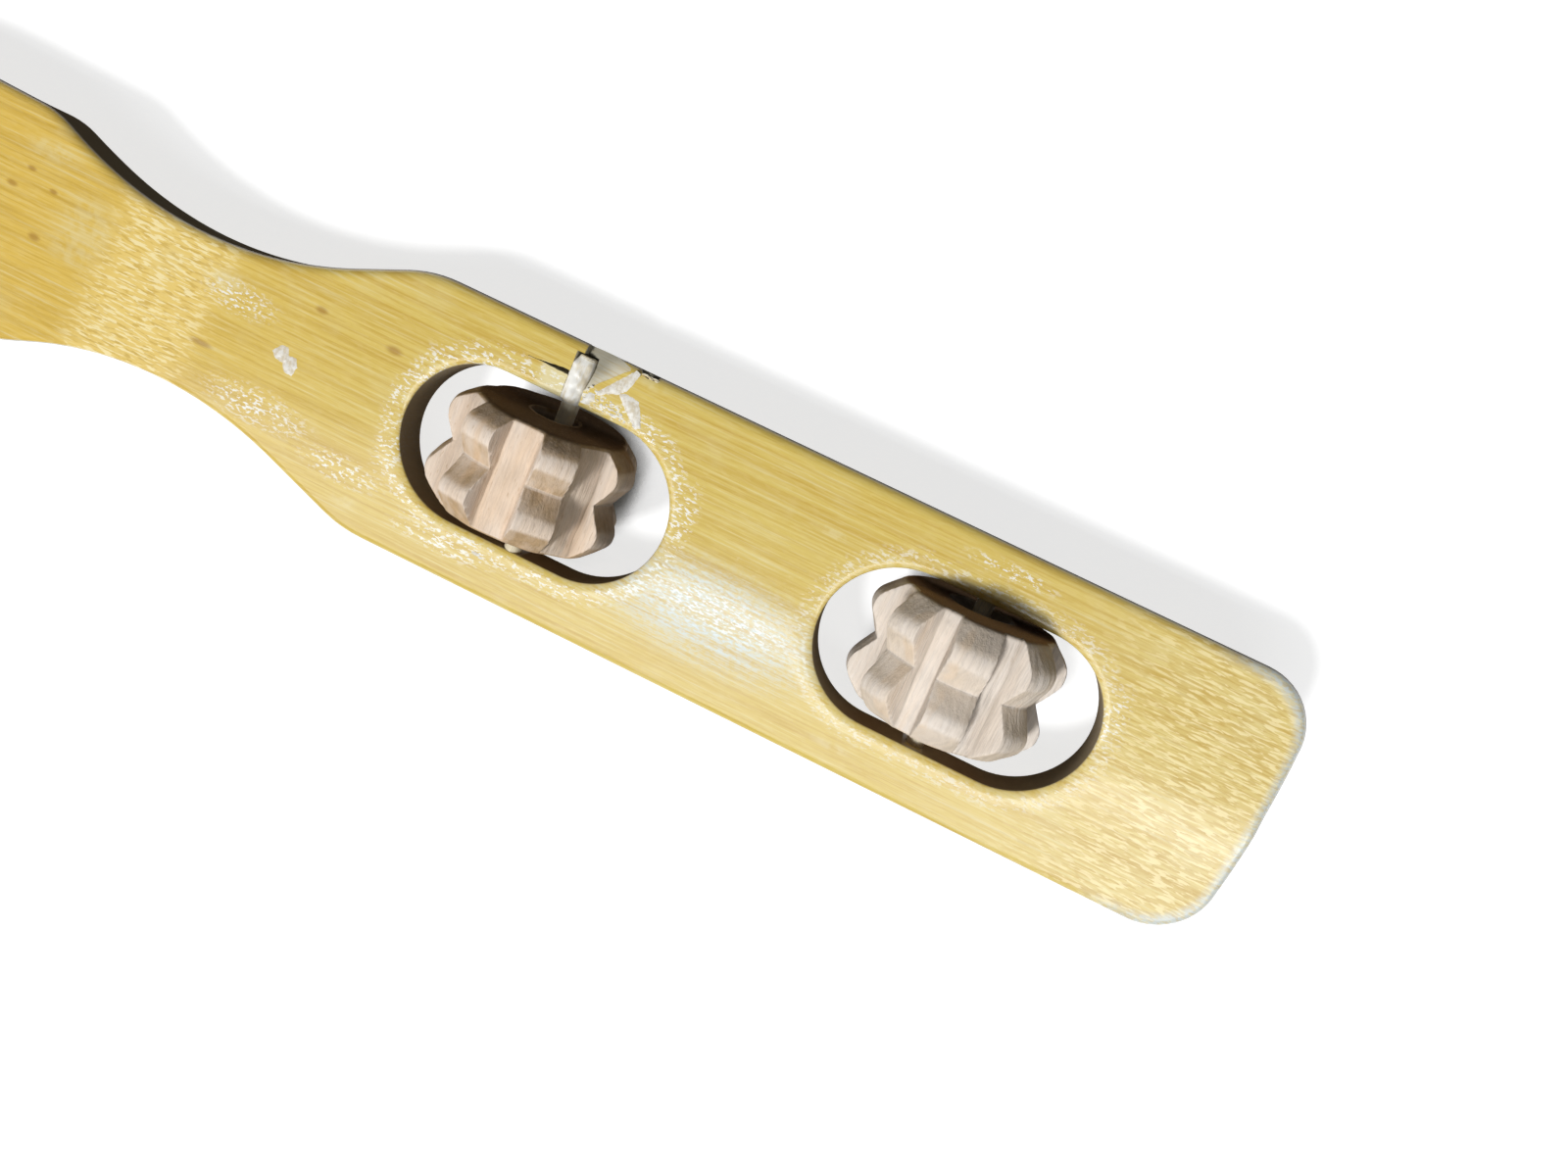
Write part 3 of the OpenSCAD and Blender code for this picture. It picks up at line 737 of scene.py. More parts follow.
class StripShape:
    """Stations and mappings of the strip: a flat pattern whose claw is then bent."""

    def __init__(self, sizes):
        s = sizes
        self.sizes = s
        self.top = ROLLER_MIDDLES["grip_roller"].z + s.roller_depth
        self.start = ROLLER_MIDDLES["grip_roller"].x - s.roller_shift
        self.slots = [self.start, self.start + s.slot_pitch]
        self.plate_end = self.slots[1] + s.end_margin
        self.waist = self.start - s.waist_reach
        self.grip = self.waist - s.grip_reach
        self.shaft = self.grip - s.shaft_reach
        self.neck = self.shaft - s.shaft_length
        self.claw = self.neck - s.claw_flare
        self.bend = self.claw - s.claw_flare / 4
        self.bend_length = s.bend_radius * s.bend_angle
        drop = self.top - s.bend_radius * (1 - math.cos(s.bend_angle))
        self.tip_length = (drop - s.tip_thickness * math.cos(s.bend_angle)) / math.sin(s.bend_angle)
        self.pattern_end = self.bend - self.bend_length - self.tip_length
        self.finger_width = (s.claw_width - (s.fingers - 1) * s.finger_gap) / s.fingers

    def at(self, x, y, depth):
        """A place on the plate in millimetres from the first slot's middle and the top face."""
        return Vector((self.start + x * MM, y * MM, self.top - depth * MM))

    def thickness(self, x):
        """Thickness along the flat pattern."""
        s = self.sizes
        if x > self.grip:
            return s.thickness
        if x > self.bend:
            share = (self.grip - x) / (self.grip - self.bend)
            return s.thickness + (s.claw_thickness - s.thickness) * share
        share = (self.bend - x) / (self.bend - self.pattern_end)
        return s.claw_thickness + (s.tip_thickness - s.claw_thickness) * share

    def rim_gap(self, x, y):
        """Distance from the nearer slot's edge."""
        s = self.sizes
        straight = (s.slot_length - s.slot_width) / 2
        beyond = min(max(abs(x - middle) - straight, 0) for middle in self.slots)
        return math.hypot(beyond, y) - s.slot_width / 2

    def sink(self, x, y):
        """How far the top face lies below its highest level."""
        s = self.sizes
        crown = s.crown * (y / (s.plate_width / 2)) ** 2
        wear_and_highlight = max(0, 1 - max(0, self.rim_gap(x, y)) / s.rim_reach)
        crown += s.rim_drop * (1.8 * wear_and_highlight ** 2 if wear_and_highlight < 0.25 else (0.9 * wear_and_highlight - 0.1125))
        wave = noise.noise(Vector((x / BROAD_WAVE[0], y / BROAD_WAVE[1], 3.1)))
        wave += 0.5 * noise.noise(Vector((x / SHORT_WAVE[0], y / SHORT_WAVE[1], 8.7)))
        return crown + s.ripple * (0.5 + 0.33 * wave)

    def bent(self, x, y, depth):
        """Place of a flat-pattern point at a depth below the outer face."""
        s = self.sizes
        run = max(self.bend - x, 0)
        turn = min(run / self.bend_length, 1) * s.bend_angle
        straight = max(run - self.bend_length, 0)
        r = s.bend_radius - depth
        return Vector((max(x, self.bend) - r * math.sin(turn) - straight * math.cos(turn), y,
                       self.top - s.bend_radius + r * math.cos(turn) - straight * math.sin(turn)))

    def turn(self, point):
        """Angle round the claw's bend at a point."""
        level = point.z - (self.top - self.sizes.bend_radius)
        return min(max(math.atan2(self.bend - point.x, level), 0), self.sizes.bend_angle)

    def flat(self, point):
        """Flat-pattern place of a point on the bent strip, in millimetres from the first slot's middle."""
        s = self.sizes
        x, depth = point.x, self.top - point.z
        if point.x < self.bend:
            level = point.z - (self.top - s.bend_radius)
            turn = self.turn(point)
            out = Vector((math.sin(turn), math.cos(turn)))
            ahead = Vector((math.cos(turn), -math.sin(turn)))
            arm = Vector((self.bend - point.x, level))
            x = self.bend - s.bend_radius * turn - max(arm.dot(ahead), 0)
            depth = s.bend_radius - arm.dot(out)
        return (x - self.start) / MM, point.y / MM, depth / MM

    def half_side(self, lean):
        """Half widths along one side, from the plate's shoulder to the claw's bend."""
        s = self.sizes
        mean = (s.plate_slope + s.grip_slope) / 2
        half_gap = (s.plate_slope - s.grip_slope) / 2
        waist_point = s.waist_width / 2 + s.waist_radius * (1 - math.cos(half_gap) / math.cos(mean))
        plate_x = self.waist + (s.plate_width / 2 - waist_point) / math.tan(s.plate_slope)
        grip_x = self.waist - (s.grip_near_width / 2 - waist_point) / math.tan(s.grip_slope)
        return rounded_path([
            (self.start, s.plate_width / 2, 0),
            (plate_x, s.plate_width / 2, s.plate_shoulder),
            (self.waist, waist_point + lean, s.waist_radius),
            (grip_x, s.grip_near_width / 2, s.grip_shoulder),
            (self.grip, s.grip_width / 2, 2 * s.grip_width),
            (self.shaft, s.shaft_width / 2, 4 * s.shaft_width),
            (self.neck, s.neck_width / 2, 1.5 * s.neck_width),
            (self.claw, s.claw_width / 2, s.claw_width / 2),
            (self.bend, s.claw_width / 2, 0)], PATH_STEP)

    def half_end(self):
        """Half of the plate's end, from its middle to its side."""
        s = self.sizes
        inner = s.plate_width / 2 - s.end_corner
        drop = s.end_bow * (inner / (s.plate_width / 2)) ** 2
        bow = [Vector((self.plate_end - drop * (i / BOW_STEPS) ** 2, inner * i / BOW_STEPS))
               for i in range(BOW_STEPS)]
        middle = Vector((self.plate_end - drop - s.end_corner, inner))
        turns = [math.pi / 2 * i / CORNER_STEPS for i in range(CORNER_STEPS + 1)]
        return bow + [middle + s.end_corner * Vector((math.cos(t), math.sin(t))) for t in turns]

    def comb(self):
        """The fingers' outline from the upper side to the lower one."""
        s = self.sizes
        pitch = self.finger_width + s.finger_gap
        half = self.finger_width / 2
        tip = 0.56 * self.finger_width
        tip_sweep = math.asin(half / tip)
        root = self.bend - s.bend_radius * s.gap_root
        path = []
        for i in range(s.fingers):
            y = ((s.fingers - 1) / 2 - i) * pitch
            for k in range(TIP_STEPS + 1):
                turn = tip_sweep * (1 - 2 * k / TIP_STEPS)
                path.append(Vector((self.pattern_end + tip - tip * math.cos(turn),
                                    y + tip * math.sin(turn))))
            if i < s.fingers - 1:
                gap = y - pitch / 2
                for k in range(ROOT_STEPS + 1):
                    turn = math.pi / 2 - math.pi * k / ROOT_STEPS
                    path.append(Vector((root + s.finger_gap / 2 * math.cos(turn),
                                        gap + s.finger_gap / 2 * math.sin(turn))))
        return path

    def outline(self):
        """The flat pattern's closed outline, counterclockwise."""
        s = self.sizes
        upper = self.half_end() + self.half_side(s.waist_lean)
        lower = self.half_end()[1:] + self.half_side(-s.waist_lean)
        lower = [Vector((p.x, -p.y)) for p in reversed(lower)]
        return filled_path(upper + self.comb() + lower, OUTLINE_STEP)

    def slot(self, middle):
        """A slot's closed outline, clockwise."""
        s = self.sizes
        r = s.slot_width / 2
        straight = (s.slot_length - s.slot_width) / 2
        path = []
        for side in (1, -1):
            for k in range(SLOT_STEPS + 1):
                turn = math.pi / 2 - math.pi * k / SLOT_STEPS
                path.append(Vector((middle + side * (straight + r * math.cos(turn)),
                                    side * r * math.sin(turn))))
        return filled_path(path, SLOT_STEP)

    def edge_round(self, x, y):
        """Rounding of the outer edge, finer on the lower side and the fingers."""
        s = self.sizes
        side = s.edge_round * (1 - LOWER_FINER * smooth_step(-y, -2 * MM, 2 * MM))
        fingers = smooth_step(self.bend - x, -4 * MM, 8 * MM)
        return side + (FINGER_ROUND - side) * fingers

    def lean(self, x):
        """How far the upper side leans in at the underside, nothing at the waist."""
        on_plate = smooth_step(x - self.start, *PLATE_LEAN)
        on_grip = smooth_step(self.start - x, *GRIP_LEAN)
        return self.sizes.side_lean * (on_plate + on_grip)


EDGE_STEPS = 6
EDGE_RINGS = 2 * EDGE_STEPS + 4
SUPPORT = 0.35 * MM
EDGE_STRETCH = 1.3
RIM_STRETCH = 2.4

# Spacing of the points between the edges, and of the rows of points round the slots
GRID_ACROSS = 2.2 * MM
GRID_ALONG = 2.6 * MM
CLAW_ALONG = 1.5 * MM
EDGE_CLEAR = 1.3 * MM
SLOT_CLEAR = 5 * MM
SLOT_ROWS = (2.3, 3.2, 4.2)


def edge_profile(reach, drop, thickness):
    """Rings of an edge as (inset, depth), from the top face's support to the underside's."""
    quarter = [math.pi / 2 * i / EDGE_STEPS for i in range(EDGE_STEPS + 1)]
    top = [(reach * (1 - math.sin(a)), drop * (1 - math.cos(a))) for a in quarter]
    low = [(inset, thickness - depth) for inset, depth in reversed(top)]
    return [(reach + SUPPORT, 0)] + top + low + [(reach + SUPPORT, thickness)]


def edge_rings(shape, loop, outer):
    """Points of the rings round an edge, and the flat places of the first ring."""
    profiles = []
    for p in loop:
        drop = shape.edge_round(p.x, p.y) if outer else shape.sizes.rim_round
        reach = (EDGE_STRETCH if outer else RIM_STRETCH) * drop
        profiles.append(edge_profile(reach, drop, shape.thickness(p.x)))
    verts, first = [], []
    for k in range(EDGE_RINGS):
        under = k > EDGE_STEPS + 1
        for p, n, profile in zip(loop, loop_normals(loop), profiles):
            inset, depth = profile[k]
            if outer and under:
                inset += shape.lean(p.x) * max(0, n.y)
            q = p - n * inset
            depth += shape.thickness(q.x) - shape.thickness(p.x) if under else shape.sink(q.x, q.y)
            verts.append(shape.bent(q.x, q.y, depth))
            if k == 0:
                first.append(q)
    return verts, first


def face_grid(shape, slots, rings):
    """Staggered points between the edges' first rings, and rows of points round the slots."""
    half = shape.sizes.plate_width / 2
    grid = []
    row = 0
    x = shape.pattern_end
    while x < shape.plate_end:
        y = -half + (GRID_ACROSS / 2 if row % 2 else 0)
        while y < half:
            grid.append((x, y))
            y += GRID_ACROSS
        x += CLAW_ALONG if x < shape.claw else GRID_ALONG
        row += 1
    grid = [p for p in grid if shape.rim_gap(*p) > SLOT_CLEAR]
    for loop in slots:
        for inset in SLOT_ROWS:
            grid += [tuple(p - n * inset * MM) for p, n in zip(loop, loop_normals(loop))]
    grid = np.array(grid)
    grid = grid[within(grid, rings)]
    return grid[nearest_gaps(grid, np.concatenate(rings)) > EDGE_CLEAR]


def strip_mesh(shape):
    """Vertices and faces of the whole strip before anything is broken out of it."""
    loops = [shape.outline()] + [shape.slot(x) for x in shape.slots]
    verts, faces, points, borders, top, low = [], [], [], [], [], []
    for loop in loops:
        start, count = len(verts), len(loop)
        ring_verts, first = edge_rings(shape, loop, loop is loops[0])
        faces += ring_faces(EDGE_RINGS, count, start, flipped=True)
        borders.append((len(points), count))
        verts += ring_verts
        points += first
        top += range(start, start + count)
        low += range(len(verts) - count, len(verts))

    # Both faces share one net, with guard points well outside it
    rings = [np.array([tuple(p) for p in points[start:start + count]]) for start, count in borders]
    for x, y in face_grid(shape, loops[1:], rings):
        points.append(Vector((x, y)))
        top.append(len(verts))
        low.append(len(verts) + 1)
        verts += [shape.bent(x, y, shape.sink(x, y)), shape.bent(x, y, shape.thickness(x))]
    points += [Vector((x, y)) for x in (shape.pattern_end - 0.1, shape.plate_end + 0.1) for y in (-0.1, 0.1)]
    for corners in net_faces(points, borders, 1e-7):
        faces.append([top[i] for i in corners])
        faces.append([low[i] for i in reversed(corners)])
    return verts, faces


# Holes round the pins; the rest of the break is in millimetres
GRIP_HOLE = 1.55 * MM
END_HOLE = 1.6 * MM
HOLE_SPARE = 0.2 * MM
CUT_RISE = 2.0
CHANNEL_HALF = 1.55
RIDGE_START_Y = 15.0
SPLIT_END = 9.4
CRACK_START = (-7.6, 17.0)
CRACK_END_Y = 17.3
TORN_DEPTH = 1.7
LEAST_FACES = 2000


def cutter(name, made, material):
    """A finished bmesh as an object whose faces take a piece's second material."""
    for face in made.faces:
        face.material_index = 1
    mesh = bpy.data.meshes.new(name)
    made.to_mesh(mesh)
    made.free()
    mesh.materials.append(material)
    mesh.materials.append(material)
    return in_scene(name, mesh)


def prism(name, shape, outline, floors, material):
    """A cutter over an outline in millimetres on the plate, with a floor depth at each point."""
    count = len(outline)
    made = bmesh.new()
    verts = [made.verts.new(shape.at(x, y, -CUT_RISE)) for x, y in outline]
    verts += [made.verts.new(shape.at(x, y, floor)) for (x, y), floor in zip(outline, floors)]
    made.faces.new(verts[:count])
    made.faces.new(list(reversed(verts[count:])))
    for i in range(count):
        j = (i + 1) % count
        made.faces.new((verts[j], verts[i], verts[count + i], verts[count + j]))
    bmesh.ops.triangulate(made, faces=made.faces)
    bmesh.ops.recalc_face_normals(made, faces=made.faces)
    return cutter(name, made, material)


def pin_hole(name, node, radius, material):
    """A round cutter along a pin, a little longer than the pin at its upper end."""
    x, z, _, end = pin_line(node)
    made = bmesh.new()
    turn = Matrix.Rotation(math.pi / 2, 4, "X")
    place = Matrix.Translation((x, HOLE_SPARE / 2, z))
    bmesh.ops.create_cone(made, cap_ends=True, segments=40, radius1=radius, radius2=radius,
                          depth=2 * end + HOLE_SPARE, matrix=place @ turn)
    return cutter(name, made, material)


def cut_out(piece, cutters):
    """Takes the cutters out of a piece and removes them."""
    for tool in cutters:
        step = piece.modifiers.new(tool.name, "BOOLEAN")
        step.operation = "DIFFERENCE"
        step.solver = "EXACT"
        step.material_mode = "INDEX"
        step.object = tool
    graph = bpy.context.evaluated_depsgraph_get()
    whole = piece.data
    piece.data = bpy.data.meshes.new_from_object(piece.evaluated_get(graph))
    piece.modifiers.clear()
    bpy.data.meshes.remove(whole)
    for tool in cutters:
        bpy.data.objects.remove(tool)


def torn_line(a, b, count, amount, seed):
    """Points from a to b, the inner ones moved a little, as wood tears."""
    chance = random.Random(seed)
    path = [(a[0] + (b[0] - a[0]) * i / count, a[1] + (b[1] - a[1]) * i / count) for i in range(count + 1)]
    moved = [(x + chance.uniform(-amount, amount), y + chance.uniform(-amount, amount))
             for x, y in path[1:-1]]
    return [path[0]] + moved + [path[-1]]


def break_cutters(shape, material):
    """The broken rail: the channel over the pin, the split beside it, the crack and the torn edge."""
    middle_x, middle_z, _, pin_end = pin_line("grip_side_axle")
    pin_x = (middle_x - shape.start) / MM
    pin_depth = (shape.top - middle_z) / MM
    end_y = pin_end / MM
    edge = shape.sizes.plate_width / 2 / MM
    inner = shape.sizes.slot_width / 2 / MM - 1.5
    half = CHANNEL_HALF

    channel = torn_line((pin_x - half, inner), (pin_x - half - 0.05, end_y + 0.25), 7, 0.05, 4)
    channel += torn_line((pin_x + half + 0.35, end_y + 0.25), (pin_x + half, inner), 7, 0.06, 5)
    cutters = [prism("channel", shape, channel, [pin_depth + 0.1] * len(channel), material)]

    ridge = torn_line((pin_x + 0.9, RIDGE_START_Y), (SPLIT_END, edge + 0.2), 8, 0.10, 6)
    split = ridge + [(SPLIT_END, edge + 1.2), (pin_x - 0.4, edge + 1.2), (pin_x - 0.4, end_y - 0.1)]
    floors = [0.55 - 0.02 * i for i in range(len(ridge))] + [0.9, 2.6, 2.4]
    cutters.append(prism("split", shape, split, floors, material))

    along = torn_line(CRACK_START, (pin_x - 0.8, CRACK_END_Y), 12, 0.05, 7)
    open_by = [0.04 + 0.34 * smooth_step(x, -6.5, -1.0) for x, y in along]
    crack = [(x, y + w) for (x, y), w in zip(along, open_by)]
    crack += [(x, y - w) for (x, y), w in reversed(list(zip(along, open_by)))]
    floors = [1.2 + 1.2 * smooth_step(x, -7.4, 0) for x, y in crack]
    cutters.append(prism("crack", shape, crack, floors, material))

    torn = [(9.7, edge - 0.2), (10.3, edge - 0.75), (11.2, edge - 0.95), (12.3, edge - 0.85),
            (12.7, edge - 0.3), (13.4, edge + 0.6), (9.5, edge + 0.6)]
    cutters.append(prism("torn", shape, torn, [TORN_DEPTH] * len(torn), material))
    return cutters


class SCRATCHER_OT_strip(bpy.types.Operator):
    """Build the bamboo strip with its slots, claw and broken rail"""
    bl_idname = "scratcher.strip"
    bl_label = "Bamboo strip"

    def execute(self, context):
        values = context.scene.scratcher
        shape = StripShape(values.strip)
        lacquered = bamboo_finish("lacquered_bamboo", values.finishes, values.strip, True)
        bare = bamboo_finish("cut_bamboo", values.finishes, values.strip, False)
        split = split_finish(values.finishes)
        piece = new_piece("strip_bamboo", *strip_mesh(shape), lacquered)
        piece.data.materials.append(split)
        holes = [pin_hole("grip_hole", "grip_side_axle", GRIP_HOLE, split),
                 pin_hole("end_hole", "end_side_axle", END_HOLE, split)]
        cut_out(piece, holes + break_cutters(shape, split))
        mesh = piece.data
        if len(mesh.polygons) < LEAST_FACES:
            raise RuntimeError("the strip lost its faces when the broken rail was cut")
        finish_shading(mesh, 32)

        # The cut sides are the faces that stand upright on the flat pattern
        upright = []
        for vert in mesh.vertices:
            turn = shape.turn(vert.co)
            outward = vert.normal.z * math.cos(turn) - vert.normal.x * math.sin(turn)
            upright.append(smooth_step(abs(outward), 0.62, 0.3))
        write_values(mesh, "grain", [shape.flat(vert.co) for vert in mesh.vertices])
        write_values(mesh, "wall", upright)
        mesh.materials.append(bare)
        for face in mesh.polygons:
            if face.material_index == 0 and min(upright[i] for i in face.vertices) > 0.5:
                face.material_index = 2
        carry(piece, "strip", "bamboo", "bamboo_strip")
        return {"FINISHED"}


# The rollers

ROLLER_SIDES = 480
ROLLER_ROWS = 97
FLUTE_REACH = 0.40
CREASE_WIDTH = 0.22 * MM
CREASE_DEPTH = 0.12 * MM
GROOVE_ROUND = 0.7 * MM
GROOVE_LINE = 0.2 * MM
PROFILE_STEP = 0.25 * MM
KNOB_BLEND = 0.4 * MM
FIBRE_RELIEF = 0.07 * MM
END_ROUND = 0.6 * MM
CHIP_DEPTH = 0.5 * MM
CHIP_REACH = 2.2 * MM
FACE_DISH = 0.12 * MM
FACE_RELIEF = 0.06 * MM
LIP_DEPTH = 0.5 * MM
FACE_SHARES = (0.06, 0.3, 0.6, 0.9, 1.0)
BORE_RINGS = 5


def turned_profile(sizes, ys, cut, cut_slope):
    """Radius of the turned roller at each place along it, its upper end cut shorter."""
    row = sizes.row_pitch / 2
    half = sizes.length / 2
    crest = sizes.diameter / 2 - sizes.crest_round
    crest += sizes.crest_round * (math.cos((sizes.bevel_slope - sizes.groove_slope) / 2)
                                  / math.cos((sizes.bevel_slope + sizes.groove_slope) / 2))
    end = crest - (half - row) * math.tan(sizes.bevel_slope)
    cut_end = crest - (half - cut - row) * math.tan(cut_slope)
    groove = crest - row * math.tan(sizes.groove_slope)
    path = rounded_path([(-half, end, 0), (-row, crest, sizes.crest_round), (0, groove, GROOVE_ROUND),
                         (row, crest, sizes.crest_round), (half - cut, cut_end, 0)], PROFILE_STEP)
    return np.interp(ys, [p.x for p in path], [p.y for p in path])


def flute_radius(sizes, turns, width, y, cuts):
    """Radius at which each direction meets the nearest flute at a place along, and its creases."""
    radius = np.full(len(turns), 1.0)
    crease = np.zeros(len(turns))
    wall = math.tan(sizes.flute_wall)
    for middle, share, deeper, skew, blend, line in cuts:
        off = (turns - middle - skew * y + math.pi) % (2 * math.pi) - math.pi
        near = np.abs(off) < FLUTE_REACH
        a = np.abs(off[near])
        floor = sizes.diameter / 2 - sizes.flute_depth - deeper
        bottom = floor / np.cos(a)
        side = (floor - width * share / 2 / wall) / (np.cos(a) - np.sin(a) / wall)
        radius[near] = np.minimum(radius[near], -smooth_least(-bottom, -side, blend))
        from_corner = floor * np.tan(a) - width * share / 2
        crease[near] = np.maximum(crease[near], line * np.exp(-(from_corner / CREASE_WIDTH) ** 2))
    return radius, crease


def roller_piece(name, body, sizes, flutes, width, turn, mouth, cut, cut_slope, material, seed):
    """One roller as closed rings: its outside, end faces and worn bore."""
    chance = random.Random(seed)
    count = ROLLER_SIDES
    turns = ring_turns(count)
    uneven = sizes.hand_cut
    cuts = [(turn + i * 2 * math.pi / flutes + chance.uniform(-0.02, 0.02), chance.uniform(0.9, 1.1),
             chance.uniform(-0.6, 0.6) * uneven, chance.uniform(-2.0, 2.0),
             chance.uniform(0.12, 0.5) * MM, chance.uniform(0.1, 1.0)) for i in range(flutes)]
    half = sizes.length / 2
    ys = np.linspace(-half, half - cut, ROLLER_ROWS)
    rows, creases = [], []
    for y, profile in zip(ys, turned_profile(sizes, ys, cut, cut_slope)):
        fluted, crease = flute_radius(sizes, turns, width, y, cuts)
        crease = crease * np.clip((profile - fluted) / (0.3 * MM), 0, 1)
        # A line of painted shade along the groove between the rows
        crease += 0.6 * math.exp(-(y / GROOVE_LINE) ** 2) * (profile < fluted)
        creases.append(crease)
        radius = smooth_least(np.full(count, profile), fluted, KNOB_BLEND) - CREASE_DEPTH * crease
        radius += uneven * (0.8 * ring_noise(turns, 3.2, y / (3.4 * MM), seed) - 0.2)
        radius += FIBRE_RELIEF * ring_noise(turns, 26, y / (9 * MM), seed)

        # Worn, uneven edges at both ends
        left = min(half + y, half - cut - y)
        ease = max(0.0, 1 - left / END_ROUND)
        chips = np.maximum(0.5 + ring_noise(turns, 3.6, y / (40 * MM) + seed), 0)
        radius -= END_ROUND * (1 - math.sqrt(1 - ease ** 2))
        radius -= CHIP_DEPTH * chips * max(0.0, 1 - left / CHIP_REACH)
        rows.append(np.minimum(radius, sizes.diameter / 2))
    row = sizes.row_pitch / 2
    longer = cut * (1 - np.cos(turns)) / 2
    rings = [(radius, y + longer * max(0.0, (y - row) / (half - cut - row))) for y, radius in zip(ys, rows)]

    # End faces dish in a little towards the worn mouths of the bore
    wear_and_highlight = (1 + 0.05 * np.sin(2 * turns + seed) + 0.035 * np.sin(3 * turns + 2 * seed)
            + 0.03 * ring_noise(turns, 2.5, seed))
    lip = mouth / 2 * wear_and_highlight
    bore = np.full(count, sizes.bore / 2)

    def end_rings(edge, reach, askew):
        """Rings from an end's edge over its face, sawn askew, and into the mouth of the bore."""
        made = []
        for share in FACE_SHARES:
            places = [(math.sin(t) * 5 * share, share * 9 + seed, math.cos(t) * 5) for t in turns]
            rough = np.array([noise.noise(Vector(place)) for place in places])
            radius = edge * (1 - share) + lip * share
            level = reach + askew * (1 - radius / edge * np.cos(turns)) / 2
            relief = FACE_RELIEF * (rough + 1) * (1 - share) ** 0.5
            made.append((radius, level - FACE_DISH * share - relief))
        made.append((lip * 0.94, np.full(count, reach - LIP_DEPTH)))
        made.append((bore, np.full(count, reach - sizes.mouth_depth)))
        return made

    rings += end_rings(rows[-1], half - cut, cut)
    rings.append((bore, np.zeros(count)))
    rings += [(radius, -y) for radius, y in reversed(end_rings(rows[0], half, 0.0))]
    middle, ahead = ROLLER_MIDDLES[body], ROLLER_LINES[body]
    across = Vector((ahead.y, -ahead.x, 0))
    verts = [middle + across * (r * math.sin(t)) + ahead * at + Vector((0, 0, r * math.cos(t)))
             for radius, y in rings for t, r, at in zip(turns, radius, y)]
    piece = new_piece(name, verts, ring_faces(len(rings), count, closed=True), material, 40)

    # Marks for the material: painted shade in the creases and the groove, end grain by the faces' lean, and
    # painted shade inside the bore
    lines = np.zeros(len(verts))
    lines[:ROLLER_ROWS * count] = np.concatenate(creases)
    bored = (ROLLER_ROWS + len(FACE_SHARES)) * count
    dark = np.zeros(len(verts))
    dark[bored:bored + BORE_RINGS * count] = 1.0
    write_values(piece.data, "crease", lines)
    write_values(piece.data, "end_grain", [abs(n.vector.y) for n in piece.data.vertex_normals])
    write_values(piece.data, "hollow", dark)
    return piece


class SCRATCHER_OT_rollers(bpy.types.Operator):
    """Build the two knobbed rollers"""
    bl_idname = "scratcher.rollers"
    bl_label = "Knobbed rollers"

    def execute(self, context):
        values = context.scene.scratcher
        sizes, finishes = values.rollers, values.finishes
        brown = roller_finish("brown_roller_wood", finishes.brown_wood, finishes.brown_end,
                              finishes.end_stain, (0.5, 0.1, 0.3))
        pale = roller_finish("pale_roller_wood", finishes.pale_wood, finishes.pale_end,
                             shade(finishes.end_stain, 1.8), (0.4, 0.1, -0.45))
        grip = roller_piece("grip_roller_wood", "grip_roller", sizes, sizes.grip_flutes,
                            sizes.grip_flute_width, sizes.grip_turn, sizes.grip_mouth,
                            sizes.grip_end_cut, sizes.grip_end_slope, brown, 3)
        carry(grip, "grip_roller", "brown_roller_wood", "grip_side_roller")
        end = roller_piece("end_roller_wood", "end_roller", sizes, sizes.end_flutes,
                           sizes.end_flute_width, sizes.end_turn, sizes.end_mouth,
                           0.0, sizes.bevel_slope, pale, 11)
        carry(end, "end_roller", "pale_roller_wood", "end_side_roller")
        return {"FINISHED"}


# The axle pins

PIN_SIDES = 40
PIN_TRIM = 0.4 * MM
PIN_ENDS = (0.0, 0.12 * MM, PIN_TRIM)
PIN_STRAIGHT = 1.2 * MM
TRIM_DEPTH = 0.35 * MM
TRIM_TILT = 0.15 * MM


def pin_piece(name, node, material, seed):
    """A hand-split pin: not quite round, its ends trimmed."""
    middle_x, middle_z, radius, half = pin_line(node)
    middle = Vector((middle_x, 0, middle_z))
    turns = ring_turns(PIN_SIDES)
    ys = [-half + e for e in PIN_ENDS] + list(np.linspace(-half + PIN_STRAIGHT, half - PIN_STRAIGHT, 30))
    ys += [half - e for e in reversed(PIN_ENDS)]
    verts = []
    for y in ys:
        trim = max(0.0, 1 - (half - abs(y)) / PIN_TRIM)
        at_end = abs(y) > half - 0.01 * MM
        for t, rough in zip(turns, ring_noise(turns, 2.4, y / (7 * MM), seed)):
            r = radius * (0.975 + 0.025 * rough) - TRIM_DEPTH * trim ** 2
            tilt = TRIM_TILT * abs(math.sin(t + seed)) if at_end else 0.0
            verts.append((middle.x + r * math.sin(t), y - math.copysign(tilt, y),
                          middle.z + r * math.cos(t)))
    return new_piece(name, verts, capped_rings(len(ys), PIN_SIDES), material, 40)


class SCRATCHER_OT_axles(bpy.types.Operator):
    """Build the two axle pins"""
    bl_idname = "scratcher.axles"
    bl_label = "Axle pins"

    def execute(self, context):
        material = pin_finish(context.scene.scratcher.finishes)
        carry(pin_piece("grip_pin", "grip_side_axle", material, 2), "strip", "pin_wood", "grip_side_axle")
        carry(pin_piece("end_pin", "end_side_axle", material, 5), "strip", "pin_wood", "end_side_axle")
        return {"FINISHED"}


# The glue of the repair, in millimetres from the grip-side slot's middle

